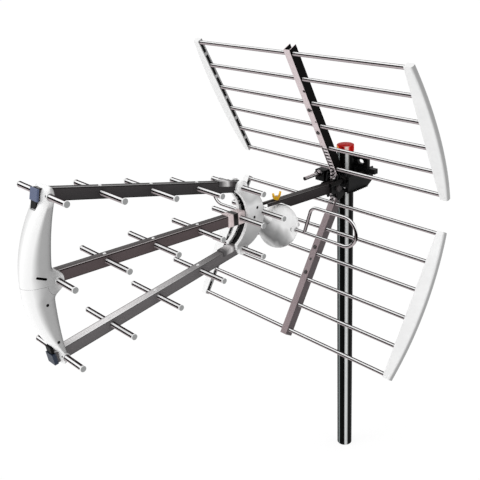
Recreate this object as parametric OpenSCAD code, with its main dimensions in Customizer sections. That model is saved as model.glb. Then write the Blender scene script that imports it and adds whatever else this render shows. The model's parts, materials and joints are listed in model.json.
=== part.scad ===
// Outdoor UHF aerial on a mast: three director booms between two moulded
// brackets, a folded dipole with a round housing, two reflector panels that
// fold on hinge pins, and a mast clamp that lets the whole aerial tilt.
// Millimetres. X runs across, the front is -Y, Z is up, the mast's foot is 0.

/* [Mast] */
// outside diameter of the mast tube
mast_d = 35; // [30:0.5:50]
// wall of the mast tube
mast_wall = 1.5; // [1:0.1:3]
// height of the tilt bolt above the mast's foot
clamp_height = 687.2; // [500:0.1:900]
// height of the cap's top above the tilt bolt
cap_top = 83.8; // [80:0.1:120]

/* [Mast clamp] */
// distance of the tilt bolt in front of the mast's axis
pivot_out = 44; // [42:0.1:60]
// angle by which the front of the aerial is tilted up
nose_up = 3.3; // [0:0.1:8]
// radius of the arc slot about the tilt bolt
slot_radius = 20; // [18:0.5:24]
// half angle of the arc slot
slot_angle = 27; // [15:1:40]
// diameter of the two long clamp bolts
clamp_bolt_d = 8; // [6:0.5:10]
// distance of a clamp bolt from the middle
clamp_bolt_x = 35; // [30:0.5:42]
// height of the clamp bolts above the tilt bolt
clamp_bolt_z = 22.5; // [18:0.1:26]
// diameter of the tilt bolt
tilt_bolt_d = 8; // [6:0.5:10]
// diameter of the lock bolt that runs in the arc slots
lock_bolt_d = 5; // [4:0.5:6]

/* [Booms] */
// width of every boom's box section
boom_w = 16; // [12:0.5:25]
// height of every boom's box section
boom_h = 20; // [15:0.5:30]
// wall of the box section
boom_wall = 1.4; // [1:0.1:2.5]
// front director's distance in front of the mast axis
front_y = 708; // [700:0.5:720]
// rear director's distance in front of the mast axis
rear_y = 314.4; // [310:0.2:318]
// height of the top boom above the middle one at the front director
spread_front = 134.6; // [120:0.2:140]
// height of the top boom above the middle one at the rear director
spread_rear = 60.1; // [58:0.1:62]
// number of directors on a boom
director_count = 5; // [3:1:8]
// outside diameter of a director
director_d = 9.6; // [6:0.2:11]
// wall of a director tube
director_wall = 0.9; // [0.6:0.1:1.5]
// half length of a director with its end caps
director_half = 71; // [50:0.5:90]

/* [Dipole] */
// distance of the dipole's plane in front of the mast axis
dipole_y = 205; // [203:0.5:208]
// height of the dipole housing's middle against the booms
housing_z = -46.5; // [-48:0.1:-46]
// radius of the round housing
housing_r = 40.5; // [38:0.5:42]
// half height of the round housing
housing_rz = 44.7; // [43:0.1:45.2]
// wall of the moulded housing
housing_wall = 2.4; // [1.6:0.1:3]
// diameter of the dipole rod
dipole_d = 6.5; // [5:0.1:8]
// height of the dipole's lower run against the booms
dipole_low = -42; // [-44:0.1:-40]
// radius of the dipole's outer bend
dipole_bend = 28; // [26:0.5:30]
// distance of the outer bend's middle from the centre
dipole_reach = 168; // [150:1:190]

/* [Reflector panels] */
// lean of each panel from the upright
lean = 29.2; // [20:0.1:35]
// number of rods in a panel
rod_count = 6; // [4:1:8]
// distance between two rods
rod_pitch = 57.1; // [45:0.1:60]
// diameter of a rod
rod_d = 8; // [6:0.2:10]
// half length of a rod between the end pieces
rod_half = 258; // [200:1:300]
// depth of the panel channel
channel_depth = 20; // [16:0.5:24]
// wall of the panel channel
channel_wall = 1.5; // [1:0.1:2]
// thickness of an end piece
end_thick = 12; // [11:0.5:16]
// width of an end piece at half height
end_width = 30; // [24:0.5:40]
// radius of an end piece's outer arc
end_arc = 838; // [600:1:1200]

/* [Brackets] */
// radius of the rear bracket's convex side
rear_convex = 60; // [58:0.5:62]
// radius of the rear bracket's hollow side
rear_concave = 62; // [60:0.5:66]
// outside half width of the rear bracket
rear_half = 15.5; // [14:0.5:18]
// half width of the front bracket
front_half = 21; // [20:0.5:24]
// wall of the front bracket
front_wall = 2.6; // [2:0.1:4]

/* [View] */
// sub-part to draw, or all

/* [Hidden] */
// gap between pieces that turn against each other
turn_gap = 0.3;
// gap between pieces that sit in each other
seat_gap = 0.05;
// gap round a pin that turns in its bore
pin_gap = 0.08;
$fa = 6;
$fs = 0.8;
mast_r = mast_d / 2;
mast_top = cap_top - 3;
// place of the director that passes through the rear bracket's tip
tip_y = 261.5;
tip_z = 0.4;
// places of the screws through the rear bracket
rear_screws = [[-277.5, 13.2], [-285, -4.3]];
// outside radius of the collars and their seats on the housing
collar_r = 6.6;
// x + y of a slanting face that leans on the mast
mast_touch = mast_d * sin(45) + 2 * seat_gap;
bw = boom_w / 2;
bh = boom_h / 2;
slope = atan((spread_front - spread_rear) / (front_y - rear_y));
director_pitch = (front_y - rear_y) / (director_count - 1);
boom_run = (front_y - rear_y) / cos(slope);
director_r = director_d / 2;
rod_r = rod_d / 2;
panel_len = rod_pitch * (rod_count - 1);
// panel frame: the inner rod's place and the hinge pin's place
inner_rod_y = 36.6;
inner_rod_z = 38.4;
pin_y = 37;
pin_z = 15.5;
pin_r = 2.5;
carrier_in = bw + 0.05;
carrier_out = bw + 2;
cheek_in = 13;
cheek_out = 16;
front_face = 7;
white = [0.94, 0.94, 0.95];
zinc = [0.72, 0.73, 0.75];
metal = [0.78, 0.78, 0.8];
dark = [0.22, 0.21, 0.22];
black = [0.05, 0.05, 0.06];
blue = [0.2, 0.25, 0.36];
yellow = [0.95, 0.78, 0.1];
red = [0.8, 0.08, 0.08];

// frames

// the tilt bolt's place on the mast
module clamp_frame() translate([0, 0, clamp_height]) children();

// the aerial's own frame, its booms level before the tilt is applied
module aerial_frame()
    translate([0, -pivot_out, clamp_height])
        rotate([-nose_up, 0, 0])
            translate([0, pivot_out, 0]) children();

// a panel's frame: rods across X in the plane y = 0, z outward from the inner rod
module panel_frame(side)
    aerial_frame()
        mirror([0, 0, side < 0 ? 1 : 0])
            translate([0, -inner_rod_y, inner_rod_z])
                rotate([lean, 0, 0]) children();

// a boom's frame: the front director across X at the origin, y toward the rear
module boom_frame(level)
    aerial_frame()
        translate([0, -front_y, level * spread_front])
            rotate([-level * slope, 0, 0]) children();

// simple solids

module along_x(r, x0, x1) translate([x0, 0, 0]) rotate([0, 90, 0]) cylinder(r = r, h = x1 - x0);

module along_y(r, y0, y1) translate([0, y0, 0]) rotate([-90, 0, 0]) cylinder(r = r, h = y1 - y0);

module hex_y(flats, y0, y1)
    translate([0, y0, 0]) rotate([-90, 0, 0]) rotate([0, 0, 30])
        cylinder(r = flats / 2 / cos(30), h = y1 - y0, $fn = 6);

module hex_x(flats, x0, x1)
    translate([x0, 0, 0]) rotate([0, 90, 0]) cylinder(r = flats / 2 / cos(30), h = x1 - x0, $fn = 6);

module span(lo, hi) translate(lo) cube(hi - lo);

module box_tube(y0, y1)
    difference() {
        span([-bw, y0, -bh], [bw, y1, bh]);
        span([-bw + boom_wall, y0 - 1, -bh + boom_wall], [bw - boom_wall, y1 + 1, bh - boom_wall]);
    }

// a flat shape given in (y, z), drawn between two values of x
module plate_yz(x0, x1) translate([x0, 0, 0]) rotate([90, 0, 90]) linear_extrude(x1 - x0) children();

// mast and clamp

module mast_tube()
    color(black)
        difference() {
            cylinder(r = mast_r, h = clamp_height + mast_top);
            translate([0, 0, -1]) cylinder(r = mast_r - mast_wall, h = clamp_height + mast_top + 2);
        }

module mast_cap()
    color(red)
        clamp_frame()
            difference() {
                translate([0, 0, cap_top - 15]) cylinder(r = mast_r + 1.8, h = 15);
                translate([0, 0, cap_top - 16]) cylinder(r = mast_r + seat_gap, h = 16 - (cap_top - mast_top) + seat_gap);
            }

module cheek_flat()
    difference() {
        union() {
            polygon([[-pivot_out - 19, -6], [-pivot_out - 15, -10], [-pivot_out + 6, -10],
                [-pivot_out + 6, 10], [-pivot_out - 15, 10], [-pivot_out - 19, 6]]);
            intersection() {
                translate([-pivot_out, 0]) circle(r = slot_radius + 8);
                polygon([[-pivot_out - 4, 0], [-pivot_out + 6, 40], [0, 40], [0, -40], [-pivot_out + 6, -40]]);
            }
        }
        translate([-pivot_out, 0]) circle(r = tilt_bolt_d / 2 + seat_gap);
        translate([-pivot_out, 0]) arc_slot();
    }

// the lock bolt's slot, an arc about the tilt bolt
module arc_slot() {
    half = lock_bolt_d / 2 + turn_gap;
    intersection() {
        difference() {
            circle(r = slot_radius + half);
            circle(r = slot_radius - half);
        }
        polygon([[0, 0], [60 * cos(slot_angle), 60 * sin(slot_angle)], [60 * cos(slot_angle), -60 * sin(slot_angle)]]);
    }
}

module clamp_side()
    difference() {
        union() {
            plate_yz(cheek_in, cheek_out) cheek_flat();
            // block with the face that leans on the mast
            translate([0, 0, -16])
                linear_extrude(32)
                    polygon([[20.5, -18.4], [11.5, -18.4], [11.5, 11.5 - mast_touch], [mast_touch - 8, -8],
                        [20.5, -8]]);
            // long side plate with its lower edge cut back at the rear
            plate_yz(20, 23)
                polygon([[-18, -18.5], [48, -18.5], [66, -7], [66, 21.5], [-18, 21.5]]);
            // toothed lower flange
            for (i = [0:9])
                span([22.5, -14 + 6 * i, -18.2], [27, -11 + 6 * i, -16]);
            // ear for the clamp bolt
            span([22.5, -44, 6], [46, -12, 29.5]);
        }
        translate([clamp_bolt_x, 0, clamp_bolt_z]) along_y(clamp_bolt_d / 2 + 0.4, -60, 60);
        span([29, -38, 2], [41, -18, 14]);
    }

module clamp_side_left() color(dark) clamp_frame() mirror([1, 0, 0]) clamp_side();

module clamp_side_right() color(dark) clamp_frame() clamp_side();

module clamp_rear_jaw()
    color(dark)
        clamp_frame()
            difference() {
                union() {
                    // block whose two slanting faces lean on the mast
                    translate([0, 0, -16.5])
                        linear_extrude(48)
                            polygon([[-19.6, 26], [-19.6, mast_touch - 19.6], [mast_r + 4 - mast_touch, mast_r + 4],
                                [mast_touch - mast_r - 4, mast_r + 4], [19.6, mast_touch - 19.6], [19.6, 26]]);
                    span([-42, 22, 22], [42, 30, 53.5]);
                    span([-62, 20, 22], [62, 31, 32.5]);
                    for (s = [-1, 1])
                        span([min(s * 24, s * 46), 22, 12], [max(s * 24, s * 46), 31, 23]);
                }
                for (s = [-1, 1]) {
                    translate([s * clamp_bolt_x, 0, clamp_bolt_z]) along_y(clamp_bolt_d / 2 + 0.4, 0, 60);
                    translate([s * 20, 0, 43]) along_y(5, 10, 60);
                    translate([s * 26, 0, 43]) along_y(5, 10, 60);
                    span([min(s * 20, s * 26), 10, 38], [max(s * 20, s * 26), 60, 48]);
                }
            }

module clamp_bolts()
    color(zinc)
        clamp_frame()
            for (s = [-1, 1])
                translate([s * clamp_bolt_x, 0, clamp_bolt_z]) {
                    along_y(clamp_bolt_d / 2, -90, 36);
                    hex_y(13, 31.6, 37);
                }

module clamp_nuts()
    color(zinc)
        clamp_frame()
            for (s = [-1, 1])
                translate([s * clamp_bolt_x, 0, clamp_bolt_z])
                    difference() {
                        union() {
                            hex_y(13, -52.4, -45.9);
                            along_y(7.4, -45.8, -44.1);
                            along_y(7.4, -45.9, -45.7);
                        }
                        along_y(clamp_bolt_d / 2 + seat_gap, -60, -40);
                    }

module tilt_bolt()
    color(zinc)
        clamp_frame()
            translate([0, -pivot_out, 0]) {
                along_x(tilt_bolt_d / 2, -24, 17);
                hex_x(13, cheek_out + seat_gap, cheek_out + 5.3);
            }

module tilt_nut()
    color(zinc)
        clamp_frame()
            translate([0, -pivot_out, 0])
                difference() {
                    hex_x(13, -cheek_out - 6.5, -cheek_out - seat_gap);
                    along_x(tilt_bolt_d / 2 + seat_gap, -30, 0);
                }

module tilt_spacers()
    color(black)
        clamp_frame()
            translate([0, -pivot_out, 0])
                for (s = [-1, 1])
                    difference() {
                        along_x(7, min(s * (carrier_out + 0.2), s * (cheek_in - 0.05)),
                            max(s * (carrier_out + 0.2), s * (cheek_in - 0.05)));
                        along_x(tilt_bolt_d / 2 + seat_gap, -30, 30);
                    }

// main boom and the carrier of the hinge pins

module main_boom()
    color(dark)
        aerial_frame()
            difference() {
                intersection() {
                    box_tube(-244, -19.5);
                    plate_yz(-bw - 1, bw + 1)
                        polygon([[-19.5, 11], [-242, 11], [-242, 3.5], [-205, 3.5], [-198, 0.3],
                            [-184, -5.5], [-176, -11], [-19.5, -11]]);
                }
                // fork slot for the housing's bolt
                span([-2.8, -250, 0], [2.8, -207, bh + 1]);
                translate([0, -207, 0]) cylinder(r = 2.8, h = bh + 1);
                translate([0, -pivot_out, 0]) along_x(tilt_bolt_d / 2 + pin_gap, -20, 20);
                translate([0, -pivot_out + slot_radius, 0]) along_x(lock_bolt_d / 2 + seat_gap, -20, 20);
            }

module carrier(side)
    aerial_frame()
        mirror([side < 0 ? 1 : 0, 0, 0])
            difference() {
                plate_yz(carrier_in, carrier_out)
                    union() {
                        translate([-50, -19]) square([30, 38]);
                        for (s = [-1, 1])
                            translate([-pin_y, s * (pin_z + 1)]) circle(r = 8);
                    }
                translate([0, -pivot_out, 0]) along_x(tilt_bolt_d / 2 + pin_gap, 0, 20);
                translate([0, -pivot_out + slot_radius, 0]) along_x(lock_bolt_d / 2 + seat_gap, 0, 20);
                for (s = [-1, 1])
                    translate([0, -pin_y, s * pin_z]) along_x(pin_r + seat_gap, 0, 20);
            }

module carrier_left() color(zinc) carrier(-1);

module carrier_right() color(zinc) carrier(1);

module hinge_pins()
    color(zinc)
        aerial_frame()
            for (s = [-1, 1])
                translate([0, -pin_y, s * pin_z]) {
                    along_x(pin_r, -11.6, 11.6);
                    along_x(4, carrier_out + seat_gap, 11.8);
                    along_x(4, -11.8, -carrier_out - seat_gap);
                }

module lock_bolt()
    color(zinc)
        aerial_frame()
            translate([0, -pivot_out + slot_radius, 0]) {
                along_x(lock_bolt_d / 2, -cheek_out - 1, cheek_out + 1);
                for (s = [0, 1])
                    mirror([s, 0, 0]) {
                        hex_x(7.6, cheek_out + 0.3, cheek_out + 3.6);
                        difference() {
                            along_x(4.2, carrier_out + 0.1, cheek_in - 0.3);
                            along_x(lock_bolt_d / 2 - 0.2, carrier_out, cheek_in);
                        }
                    }
            }

module housing_bolt()
    color(zinc)
        aerial_frame()
            translate([0, -210, 0]) {
                translate([0, 0, -9]) cylinder(r = 2.5, h = 27);
                translate([0, 0, -9]) cylinder(r = 4.6, h = 4.4, $fn = 6);
            }

module boom_wing_nut()
    color(yellow)
        aerial_frame()
            translate([0, -210, bh + 0.3])
                difference() {
                    union() {
                        cylinder(r = 5, h = 6.5);
                        for (s = [-1, 1])
                            translate([-1.5, 0, 0])
                                rotate([90, 0, 90])
                                    linear_extrude(3)
                                        polygon([[s * 2, 0.8], [s * 7, 1.6], [s * 10.4, 7], [s * 11.6, 14],
                                            [s * 8.8, 14.6], [s * 6.2, 8], [s * 2, 5.6]]);
                    }
                    translate([0, 0, -1]) cylinder(r = 2.5 + pin_gap, h = 12);
                }

// dipole and its housing

function egg(r, rz) = [for (a = [0:6:180]) [r * sin(a), rz * cos(a)]];

module housing_solid(inset)
    translate([0, -dipole_y, housing_z])
        rotate_extrude()
            polygon(egg(housing_r - inset, housing_rz - inset));

cover_y = -178;
neck_angle = 38;

module neck(r, reach)
    translate([0, -dipole_y, housing_z])
        rotate([90 - neck_angle, 0, 0]) cylinder(r1 = r + 3, r2 = r, h = reach);

module rear_disc(x0, x1, r)
    translate([0, -rear_y - 2.6, -2]) along_x(r, x0, x1);

module dipole_housing()
    color(white)
        aerial_frame()
            difference() {
                union() {
                    difference() {
                        union() {
                            housing_solid(0);
                            difference() {
                                neck(12, 66);
                                rear_disc(-20, 20, rear_convex + turn_gap);
                            }
                            translate([0, -210, -8]) cylinder(r = 6.3, h = bh - boom_wall + 8 - 0.1);
                            for (s = [-1, 1])
                                translate([0, -dipole_y, dipole_low])
                                    along_x(collar_r, min(s * 30, s * 42), max(s * 30, s * 42));
                        }
                        housing_solid(housing_wall);
                        span([-60, cover_y, -120], [60, -100, 20]);
                    }
                    // tongue between the halves of the rear bracket
                    difference() {
                        translate([0, -tip_y, tip_z]) along_x(9, -7.8, 7.8);
                        translate([0, -250, 0]) rotate([-neck_angle, 0, 0]) span([-9, 12, -20], [9, 40, 20]);
                    }
                    difference() {
                        span([-7.8, -262, -14], [7.8, -248, -2]);
                        housing_solid(1);
                    }
                }
                translate([0, -210, -20]) cylinder(r = 2.5 + seat_gap, h = 60);
                translate([0, -210, -20]) cylinder(r = 4.6 + seat_gap, h = 15.45);
                translate([0, -tip_y, tip_z]) along_x(director_r + seat_gap, -20, 20);
                for (s = [-1, 1])
                    translate([0, -dipole_y, dipole_low])
                        along_x(5, min(s * 20, s * 60), max(s * 20, s * 60));
            }

module dipole_cover()
    color(white)
        aerial_frame()
            difference() {
                union() {
                    intersection() {
                        housing_solid(0);
                        span([-60, cover_y + 0.15, -120], [60, -100, 20]);
                    }
                    intersection() {
                        housing_solid(housing_wall + 0.15);
                        span([-60, cover_y - 3, -120], [60, cover_y + 1, 20]);
                    }
                }
                intersection() {
                    housing_solid(2 * housing_wall);
                    span([-60, cover_y - 4, -120], [60, -167.4, 20]);
                }
                translate([0, 0, -58]) along_y(5.5 + seat_gap, -190, -150);
            }

module balun_board()
    color([0.1, 0.3, 0.15])
        aerial_frame()
            difference() {
                span([-20, -198, -68], [20, -196.4, -30]);
                translate([0, 0, -58]) along_y(3, -200, -190);
            }

module coax_socket()
    color(metal)
        aerial_frame()
            translate([0, 0, -58])
                difference() {
                    union() {
                        along_y(4.2, -196.3, -178);
                        hex_y(13, -182, -179);
                        along_y(5.5, -179, -163);
                        along_y(4.76, -163, -147);
                    }
                    along_y(3.4, -158, -146);
                }

module dipole_side() {
    end_turn = 72.8;
    turn_r = 16;
    turn_x = 99.6;
    top = dipole_low + 2 * dipole_bend;
    r = dipole_d / 2;
    translate([0, -dipole_y, dipole_low]) along_x(r, 24, dipole_reach);
    translate([dipole_reach, -dipole_y, dipole_low + dipole_bend])
        rotate([90, 0, 0]) rotate([0, 0, -90])
            rotate_extrude(angle = 180) translate([dipole_bend, 0]) circle(r = r);
    translate([0, -dipole_y, top]) along_x(r, turn_x, dipole_reach);
    translate([turn_x, -dipole_y, top - turn_r])
        rotate([90, 0, 0]) rotate([0, 0, 90])
            rotate_extrude(angle = end_turn) translate([turn_r, 0]) circle(r = r);
    translate([turn_x + turn_r * cos(90 + end_turn), -dipole_y, top - turn_r + turn_r * sin(90 + end_turn)])
        rotate([0, 180 + 90 - end_turn, 0])
            cylinder(r = r, h = (2 * dipole_bend - turn_r + turn_r * sin(90 + end_turn)) / cos(90 - end_turn));
}

module dipole_left() color(metal) aerial_frame() mirror([1, 0, 0]) dipole_side();

module dipole_right() color(metal) aerial_frame() dipole_side();

module dipole_collars()
    color(white)
        aerial_frame()
            for (s = [0, 1])
                mirror([s, 0, 0])
                    translate([0, -dipole_y, dipole_low])
                        difference() {
                            union() {
                                along_x(4.9, 36, 45);
                                translate([42.1, 0, 0]) rotate([0, 90, 0])
                                    cylinder(r1 = collar_r, r2 = collar_r - 1.6, h = 6);
                            }
                            along_x(dipole_d / 2 + seat_gap, 0, 80);
                        }

// rear bracket

// solid of revolution about X with its outer edge rounded
module round_disc(r, x0, x1, edge)
    translate([x0, 0, 0])
        rotate([0, 90, 0])
            rotate_extrude()
                intersection() {
                    union() {
                        square([r - edge, x1 - x0]);
                        square([r, x1 - x0 - edge]);
                        translate([r - edge, x1 - x0 - edge]) circle(r = edge);
                    }
                    square([r, x1 - x0]);
                }

module hollow_side(x0, x1, r) translate([0, -rear_y - 49.6, 3]) along_x(r, x0, x1);

module rear_bracket_half() {
    x0 = bw + turn_gap;
    difference() {
        union() {
            difference() {
                translate([0, -rear_y - 2.6, -2]) round_disc(rear_convex, x0, rear_half, 5);
                hollow_side(0, 20, rear_concave);
                span([0, -420, -80], [20, -rear_y - 16, 80]);
            }
            for (s = [-1, 1])
                translate([0, -rear_y + 0.6, s * spread_rear]) round_disc(13.5, x0, rear_half, 4);
        }
        for (s = [-1, 0, 1])
            translate([0, -rear_y, s * spread_rear]) along_x(director_r + seat_gap, 0, 20);
        translate([0, -tip_y, tip_z]) along_x(director_r + seat_gap, 0, 20);
        for (p = rear_screws)
            translate([0, p[0], p[1]]) {
                along_x(1.5 + seat_gap, 0, 20);
                along_x(3, rear_half - 2.6, 20);
            }
    }
}

module rear_bracket_left() color(white) aerial_frame() mirror([1, 0, 0]) rear_bracket_half();

module rear_bracket_right() color(white) aerial_frame() rear_bracket_half();

module rear_bracket_core()
    color(black)
        aerial_frame()
            difference() {
                union() {
                    difference() {
                        rear_disc(-8, 8, rear_convex - 2);
                        hollow_side(-20, 20, rear_concave + 5);
                    }
                    // ribs on the hollow side
                    for (a = [-34, -26, -18, 18, 26, 34])
                        translate([0, -rear_y - 49.6, 3]) rotate([a, 0, 0])
                            span([-8, rear_concave + 1.5, -0.8], [8, rear_concave + 6, 0.8]);
                }
                boom_cut(1);
                boom_cut(0);
                boom_cut(-1);
                span([-20, -420, -80], [20, -rear_y - 14, 80]);
                translate([0, -tip_y, tip_z]) along_x(9.4, -20, 20);
                span([-20, -262, -15], [20, -240, -1]);
                for (p = rear_screws)
                    translate([0, p[0], p[1]]) along_x(1.5 + seat_gap, -20, 20);
            }

// the room that a boom's rear end takes, in the aerial's frame
module boom_cut(level)
    translate([0, -front_y, level * spread_front])
        rotate([-level * slope, 0, 0])
            span([-bw - 1, boom_run * (level == 0 ? cos(slope) : 1) - 60, -bh - 0.3],
                [bw + 1, boom_run * (level == 0 ? cos(slope) : 1) + 9.5, bh + 0.3]);

module rear_bracket_screws()
    color(zinc)
        aerial_frame()
            for (p = rear_screws)
                translate([0, p[0], p[1]]) {
                    along_x(1.5, -rear_half + 1, rear_half - 1);
                    along_x(2.8, rear_half - 2.5, rear_half - 0.6);
                    along_x(2.8, -rear_half + 0.6, -rear_half + 2.5);
                }

// sleeves that bed the boom ends in front of the rear bracket
module boom_sockets()
    color([0.86, 0.82, 0.82])
        aerial_frame() {
            difference() {
                span([-bw - 1.8, -346, -bh - 1.8], [bw + 1.8, -rear_y + 9.6, bh + 1.8]);
                span([-bw - seat_gap, -350, -bh - seat_gap], [bw + seat_gap, -290, bh + seat_gap]);
                translate([0, -rear_y, 0]) along_x(director_r + seat_gap, -20, 20);
                difference() {
                    span([-12, -320, -20], [12, -280, 20]);
                    hollow_side(-20, 20, rear_concave - turn_gap);
                }
            }
        }

// saddles over the top and bottom booms beside the rear bracket
module boom_saddles()
    color(zinc) {
        boom_frame(1) saddle(boom_run - 54, boom_run - 16);
        boom_frame(-1) saddle(boom_run - 44, boom_run - 16);
    }

module saddle(y0, y1)
    difference() {
        span([-bw - 1.2, y0, 2], [bw + 1.2, y1, bh + 1.5]);
        span([-bw - seat_gap, y0 - 1, 0], [bw + seat_gap, y1 + 1, bh + seat_gap]);
    }

// director booms

module director_boom(run)
    difference() {
        box_tube(-11, run + 9);
        for (i = [0:director_count - 1]) {
            translate([0, i * run / (director_count - 1), 0]) along_x(director_r + seat_gap, -20, 20);
            translate([0, i * run / (director_count - 1), 0]) cylinder(r = 1.5 + seat_gap, h = 20);
        }
    }

module director_boom_top() color(dark) boom_frame(1) director_boom(boom_run);

module director_boom_middle() color(dark) boom_frame(0) director_boom(front_y - rear_y);

module director_boom_bottom() color(dark) boom_frame(-1) director_boom(boom_run);

module director()
    difference() {
        along_x(director_r, -director_half + 3, director_half - 3);
        along_x(director_r - director_wall, -director_half, director_half);
        cylinder(r = 1.5 + seat_gap, h = 20);
    }

module directors(run)
    for (i = [0:director_count - 1])
        translate([0, i * run / (director_count - 1), 0]) director();

module directors_top() color(metal) boom_frame(1) directors(boom_run);

module directors_middle() color(metal) boom_frame(0) directors(front_y - rear_y);

module directors_bottom() color(metal) boom_frame(-1) directors(boom_run);

module director_dipole()
    color(metal)
        aerial_frame()
            translate([0, -tip_y, tip_z])
                difference() {
                    along_x(director_r, -director_half + 3, director_half - 3);
                    along_x(director_r - director_wall, -director_half, director_half);
                }

module end_caps()
    for (s = [0, 1])
        mirror([s, 0, 0]) {
            along_x(director_r + 0.3, director_half - 2.9, director_half);
            along_x(director_r - director_wall - seat_gap, director_half - 10, director_half - 2);
        }

module director_caps()
    color([0.75, 0.75, 0.76]) {
        for (level = [-1, 1])
            boom_frame(level)
                for (i = [0:director_count - 1])
                    translate([0, i * boom_run / (director_count - 1), 0]) end_caps();
        boom_frame(0)
            for (i = [0:director_count - 1])
                translate([0, i * director_pitch, 0]) end_caps();
        aerial_frame() translate([0, -tip_y, tip_z]) end_caps();
    }

// rivets through each boom's top into its directors
module director_rivets()
    color(metal)
        for (level = [-1, 0, 1])
            boom_frame(level)
                for (i = [1:director_count - 2])
                    translate([0, i * (level == 0 ? director_pitch : boom_run / (director_count - 1)), 0]) {
                        translate([0, 0, director_r - director_wall - 1]) cylinder(r = 1.5, h = bh - director_r + director_wall + 1.5);
                        translate([0, 0, bh + seat_gap]) cylinder(r1 = 3, r2 = 2.2, h = 1.3);
                    }

// front bracket

top_end = 148;
low_end = 152;
nose_y = front_y + 53;
waist_y = front_y + 4.1;
boss_z = -4.2;

function arc_back(r, z) = r - sqrt(r * r - z * z);

function front_line(z) = -nose_y + arc_back(z > 0 ? 210 : 200, min(abs(z), 128));

// swelling round the middle boom, 1 at its middle
function swell(z, half) = exp(-0.69 * pow(abs(z - boss_z) / half, 3.4));

function back_line(z) = -waist_y + arc_back(z > 0 ? 540 : 957, z);

function half_at(z) = front_half + 1.3 * z / spread_front + 1.2 * swell(z, 13);

function end_round(z) =
    z > 126 ? sqrt(max(0, 1 - pow((z - 126) / (top_end - 126), 2))) :
    z < -128 ? sqrt(max(0, 1 - pow((-z - 128) / (low_end - 128), 2))) : 1;

function soft(v, p) = sign(v) * pow(abs(v), p);

// one ring of points at height z, drawn inward by the wall when inset is given
function ring(z, inset, n) =
    let (
        e = max(0.02, end_round(z)),
        f = front_line(z),
        b = back_line(z) + (inset > 0 ? 0 : 20 * swell(z, 15.3)),
        c = (f + b) / 2,
        h = max(0.5, (b - f) / 2 * e - inset),
        w = max(0.5, half_at(z) * pow(e, z > 0 ? 0.17 : 0.5) - inset)
    )
    // round in front, nearly square behind
    [for (i = [0:n - 1])
        let (v = sin(i * 360 / n), p = v < 0 ? 1 : 0.52) [w * soft(cos(i * 360 / n), p), c + h * soft(v, p), z]];

// heights of the rings, closer together at the middle and at the ends
function ring_heights(inset, m) =
    [for (k = [0:m])
        let (t = 2 * k / m - 1, a = 90 * t * (0.35 + 0.65 * t * t))
            sin(a) * ((t > 0 ? top_end : low_end) - inset)];

module loft(inset, n, rings) {
    zs = ring_heights(inset, rings);
    m = len(zs);
    points = [for (z = zs) each ring(z, inset, n)];
    sides = [for (k = [0:m - 2]) for (i = [0:n - 1]) each
        [[k * n + i, (k + 1) * n + (i + 1) % n, k * n + (i + 1) % n],
            [k * n + i, (k + 1) * n + i, (k + 1) * n + (i + 1) % n]]];
    polyhedron(points, concat(sides, [[for (i = [0:n - 1]) i]], [[for (i = [n - 1:-1:0]) (m - 1) * n + i]]));
}

seam_z = -4;
seam_r = 20.5;
// how far ahead of the director line the seam's halves are drawn
seam_room = 92;
// bracket screws and slot, from the director line and the middle
bracket_screws = [[-22, -35], [-10, -104]];
bracket_slot = [-27, 11.2];
// how far out in x the bracket's side holes are cut
side_cut = front_half + 19;

// space below the seam line, which runs round the middle boss
module below_seam(gap)
    plate_yz(-40, 40)
        difference() {
            translate([-front_y - seam_room, -low_end - 68])
                square([2 * seam_room, low_end + 68 + seam_z - gap]);
            translate([-front_y + 2, boss_z]) circle(r = seam_r + gap);
        }

module above_seam(gap)
    plate_yz(-40, 40)
        union() {
            translate([-front_y - seam_room, seam_z + gap]) square([2 * seam_room, top_end + 72]);
            translate([-front_y + 2, boss_z]) circle(r = seam_r - gap);
        }

module front_body()
    difference() {
        loft(0, 28, 40);
        // hollow inside, solid about the boom ends
        difference() {
            loft(front_wall, 16, 20);
            for (level = [-1, 0, 1])
                translate([0, -front_y, level * spread_front])
                    rotate([-level * slope, 0, 0])
                        span([-40, -14, -bh - 3], [40, 60, bh + 3]);
        }
        for (level = [-1, 0, 1])
            translate([0, -front_y, level * spread_front])
                rotate([-level * slope, 0, 0]) {
                    span([-bw - seat_gap, -11.2, -bh - seat_gap], [bw + seat_gap, 40, bh + seat_gap]);
                    along_x(director_r + seat_gap, -40, 40);
                    // rooms for the plug of the boom's mouth and for its tab
                    if (level != 0) {
                        span([-10.7, -40, -10.2], [10.7, -10.9, 9.4]);
                        mirror([0, 0, level > 0 ? 0 : 1]) span([-7.9, -40, -24.2], [7.9, -10.9, -9]);
                    }
                }
        for (p = bracket_screws)
            translate([0, p[0] - front_y, p[1]]) along_x(2.6, 10, side_cut);
        translate([0, bracket_slot[0] - front_y, bracket_slot[1]])
            rotate([-22, 0, 0]) {
                span([10, -7, -2], [side_cut, 7, 2]);
                for (s = [-1, 1])
                    translate([0, 7 * s, 0]) along_x(2, 10, side_cut);
            }
    }

module front_bracket_upper()
    color(white)
        aerial_frame()
            intersection() {
                front_body();
                above_seam(0.15);
            }

module front_bracket_lower()
    color(white)
        aerial_frame()
            intersection() {
                front_body();
                below_seam(0.15);
            }

// outside face of the bracket beside a director
function ring_x(level) = front_half + (level < 0 ? -1.5 : 1.45);

module front_grommets()
    color(white)
        for (level = [-1, 0, 1])
            boom_frame(level)
                for (s = [-1, 1])
                    difference() {
                        along_x(director_r + 1.8, min(s * ring_x(level), s * (ring_x(level) + 2)),
                            max(s * ring_x(level), s * (ring_x(level) + 2)));
                        along_x(director_r + seat_gap, -30, 30);
                    }

module front_bracket_screws()
    color(dark)
        aerial_frame()
            for (p = bracket_screws)
                translate([0, p[0] - front_y, p[1]]) along_x(2.4, 10, front_half - 1.6);

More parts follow.
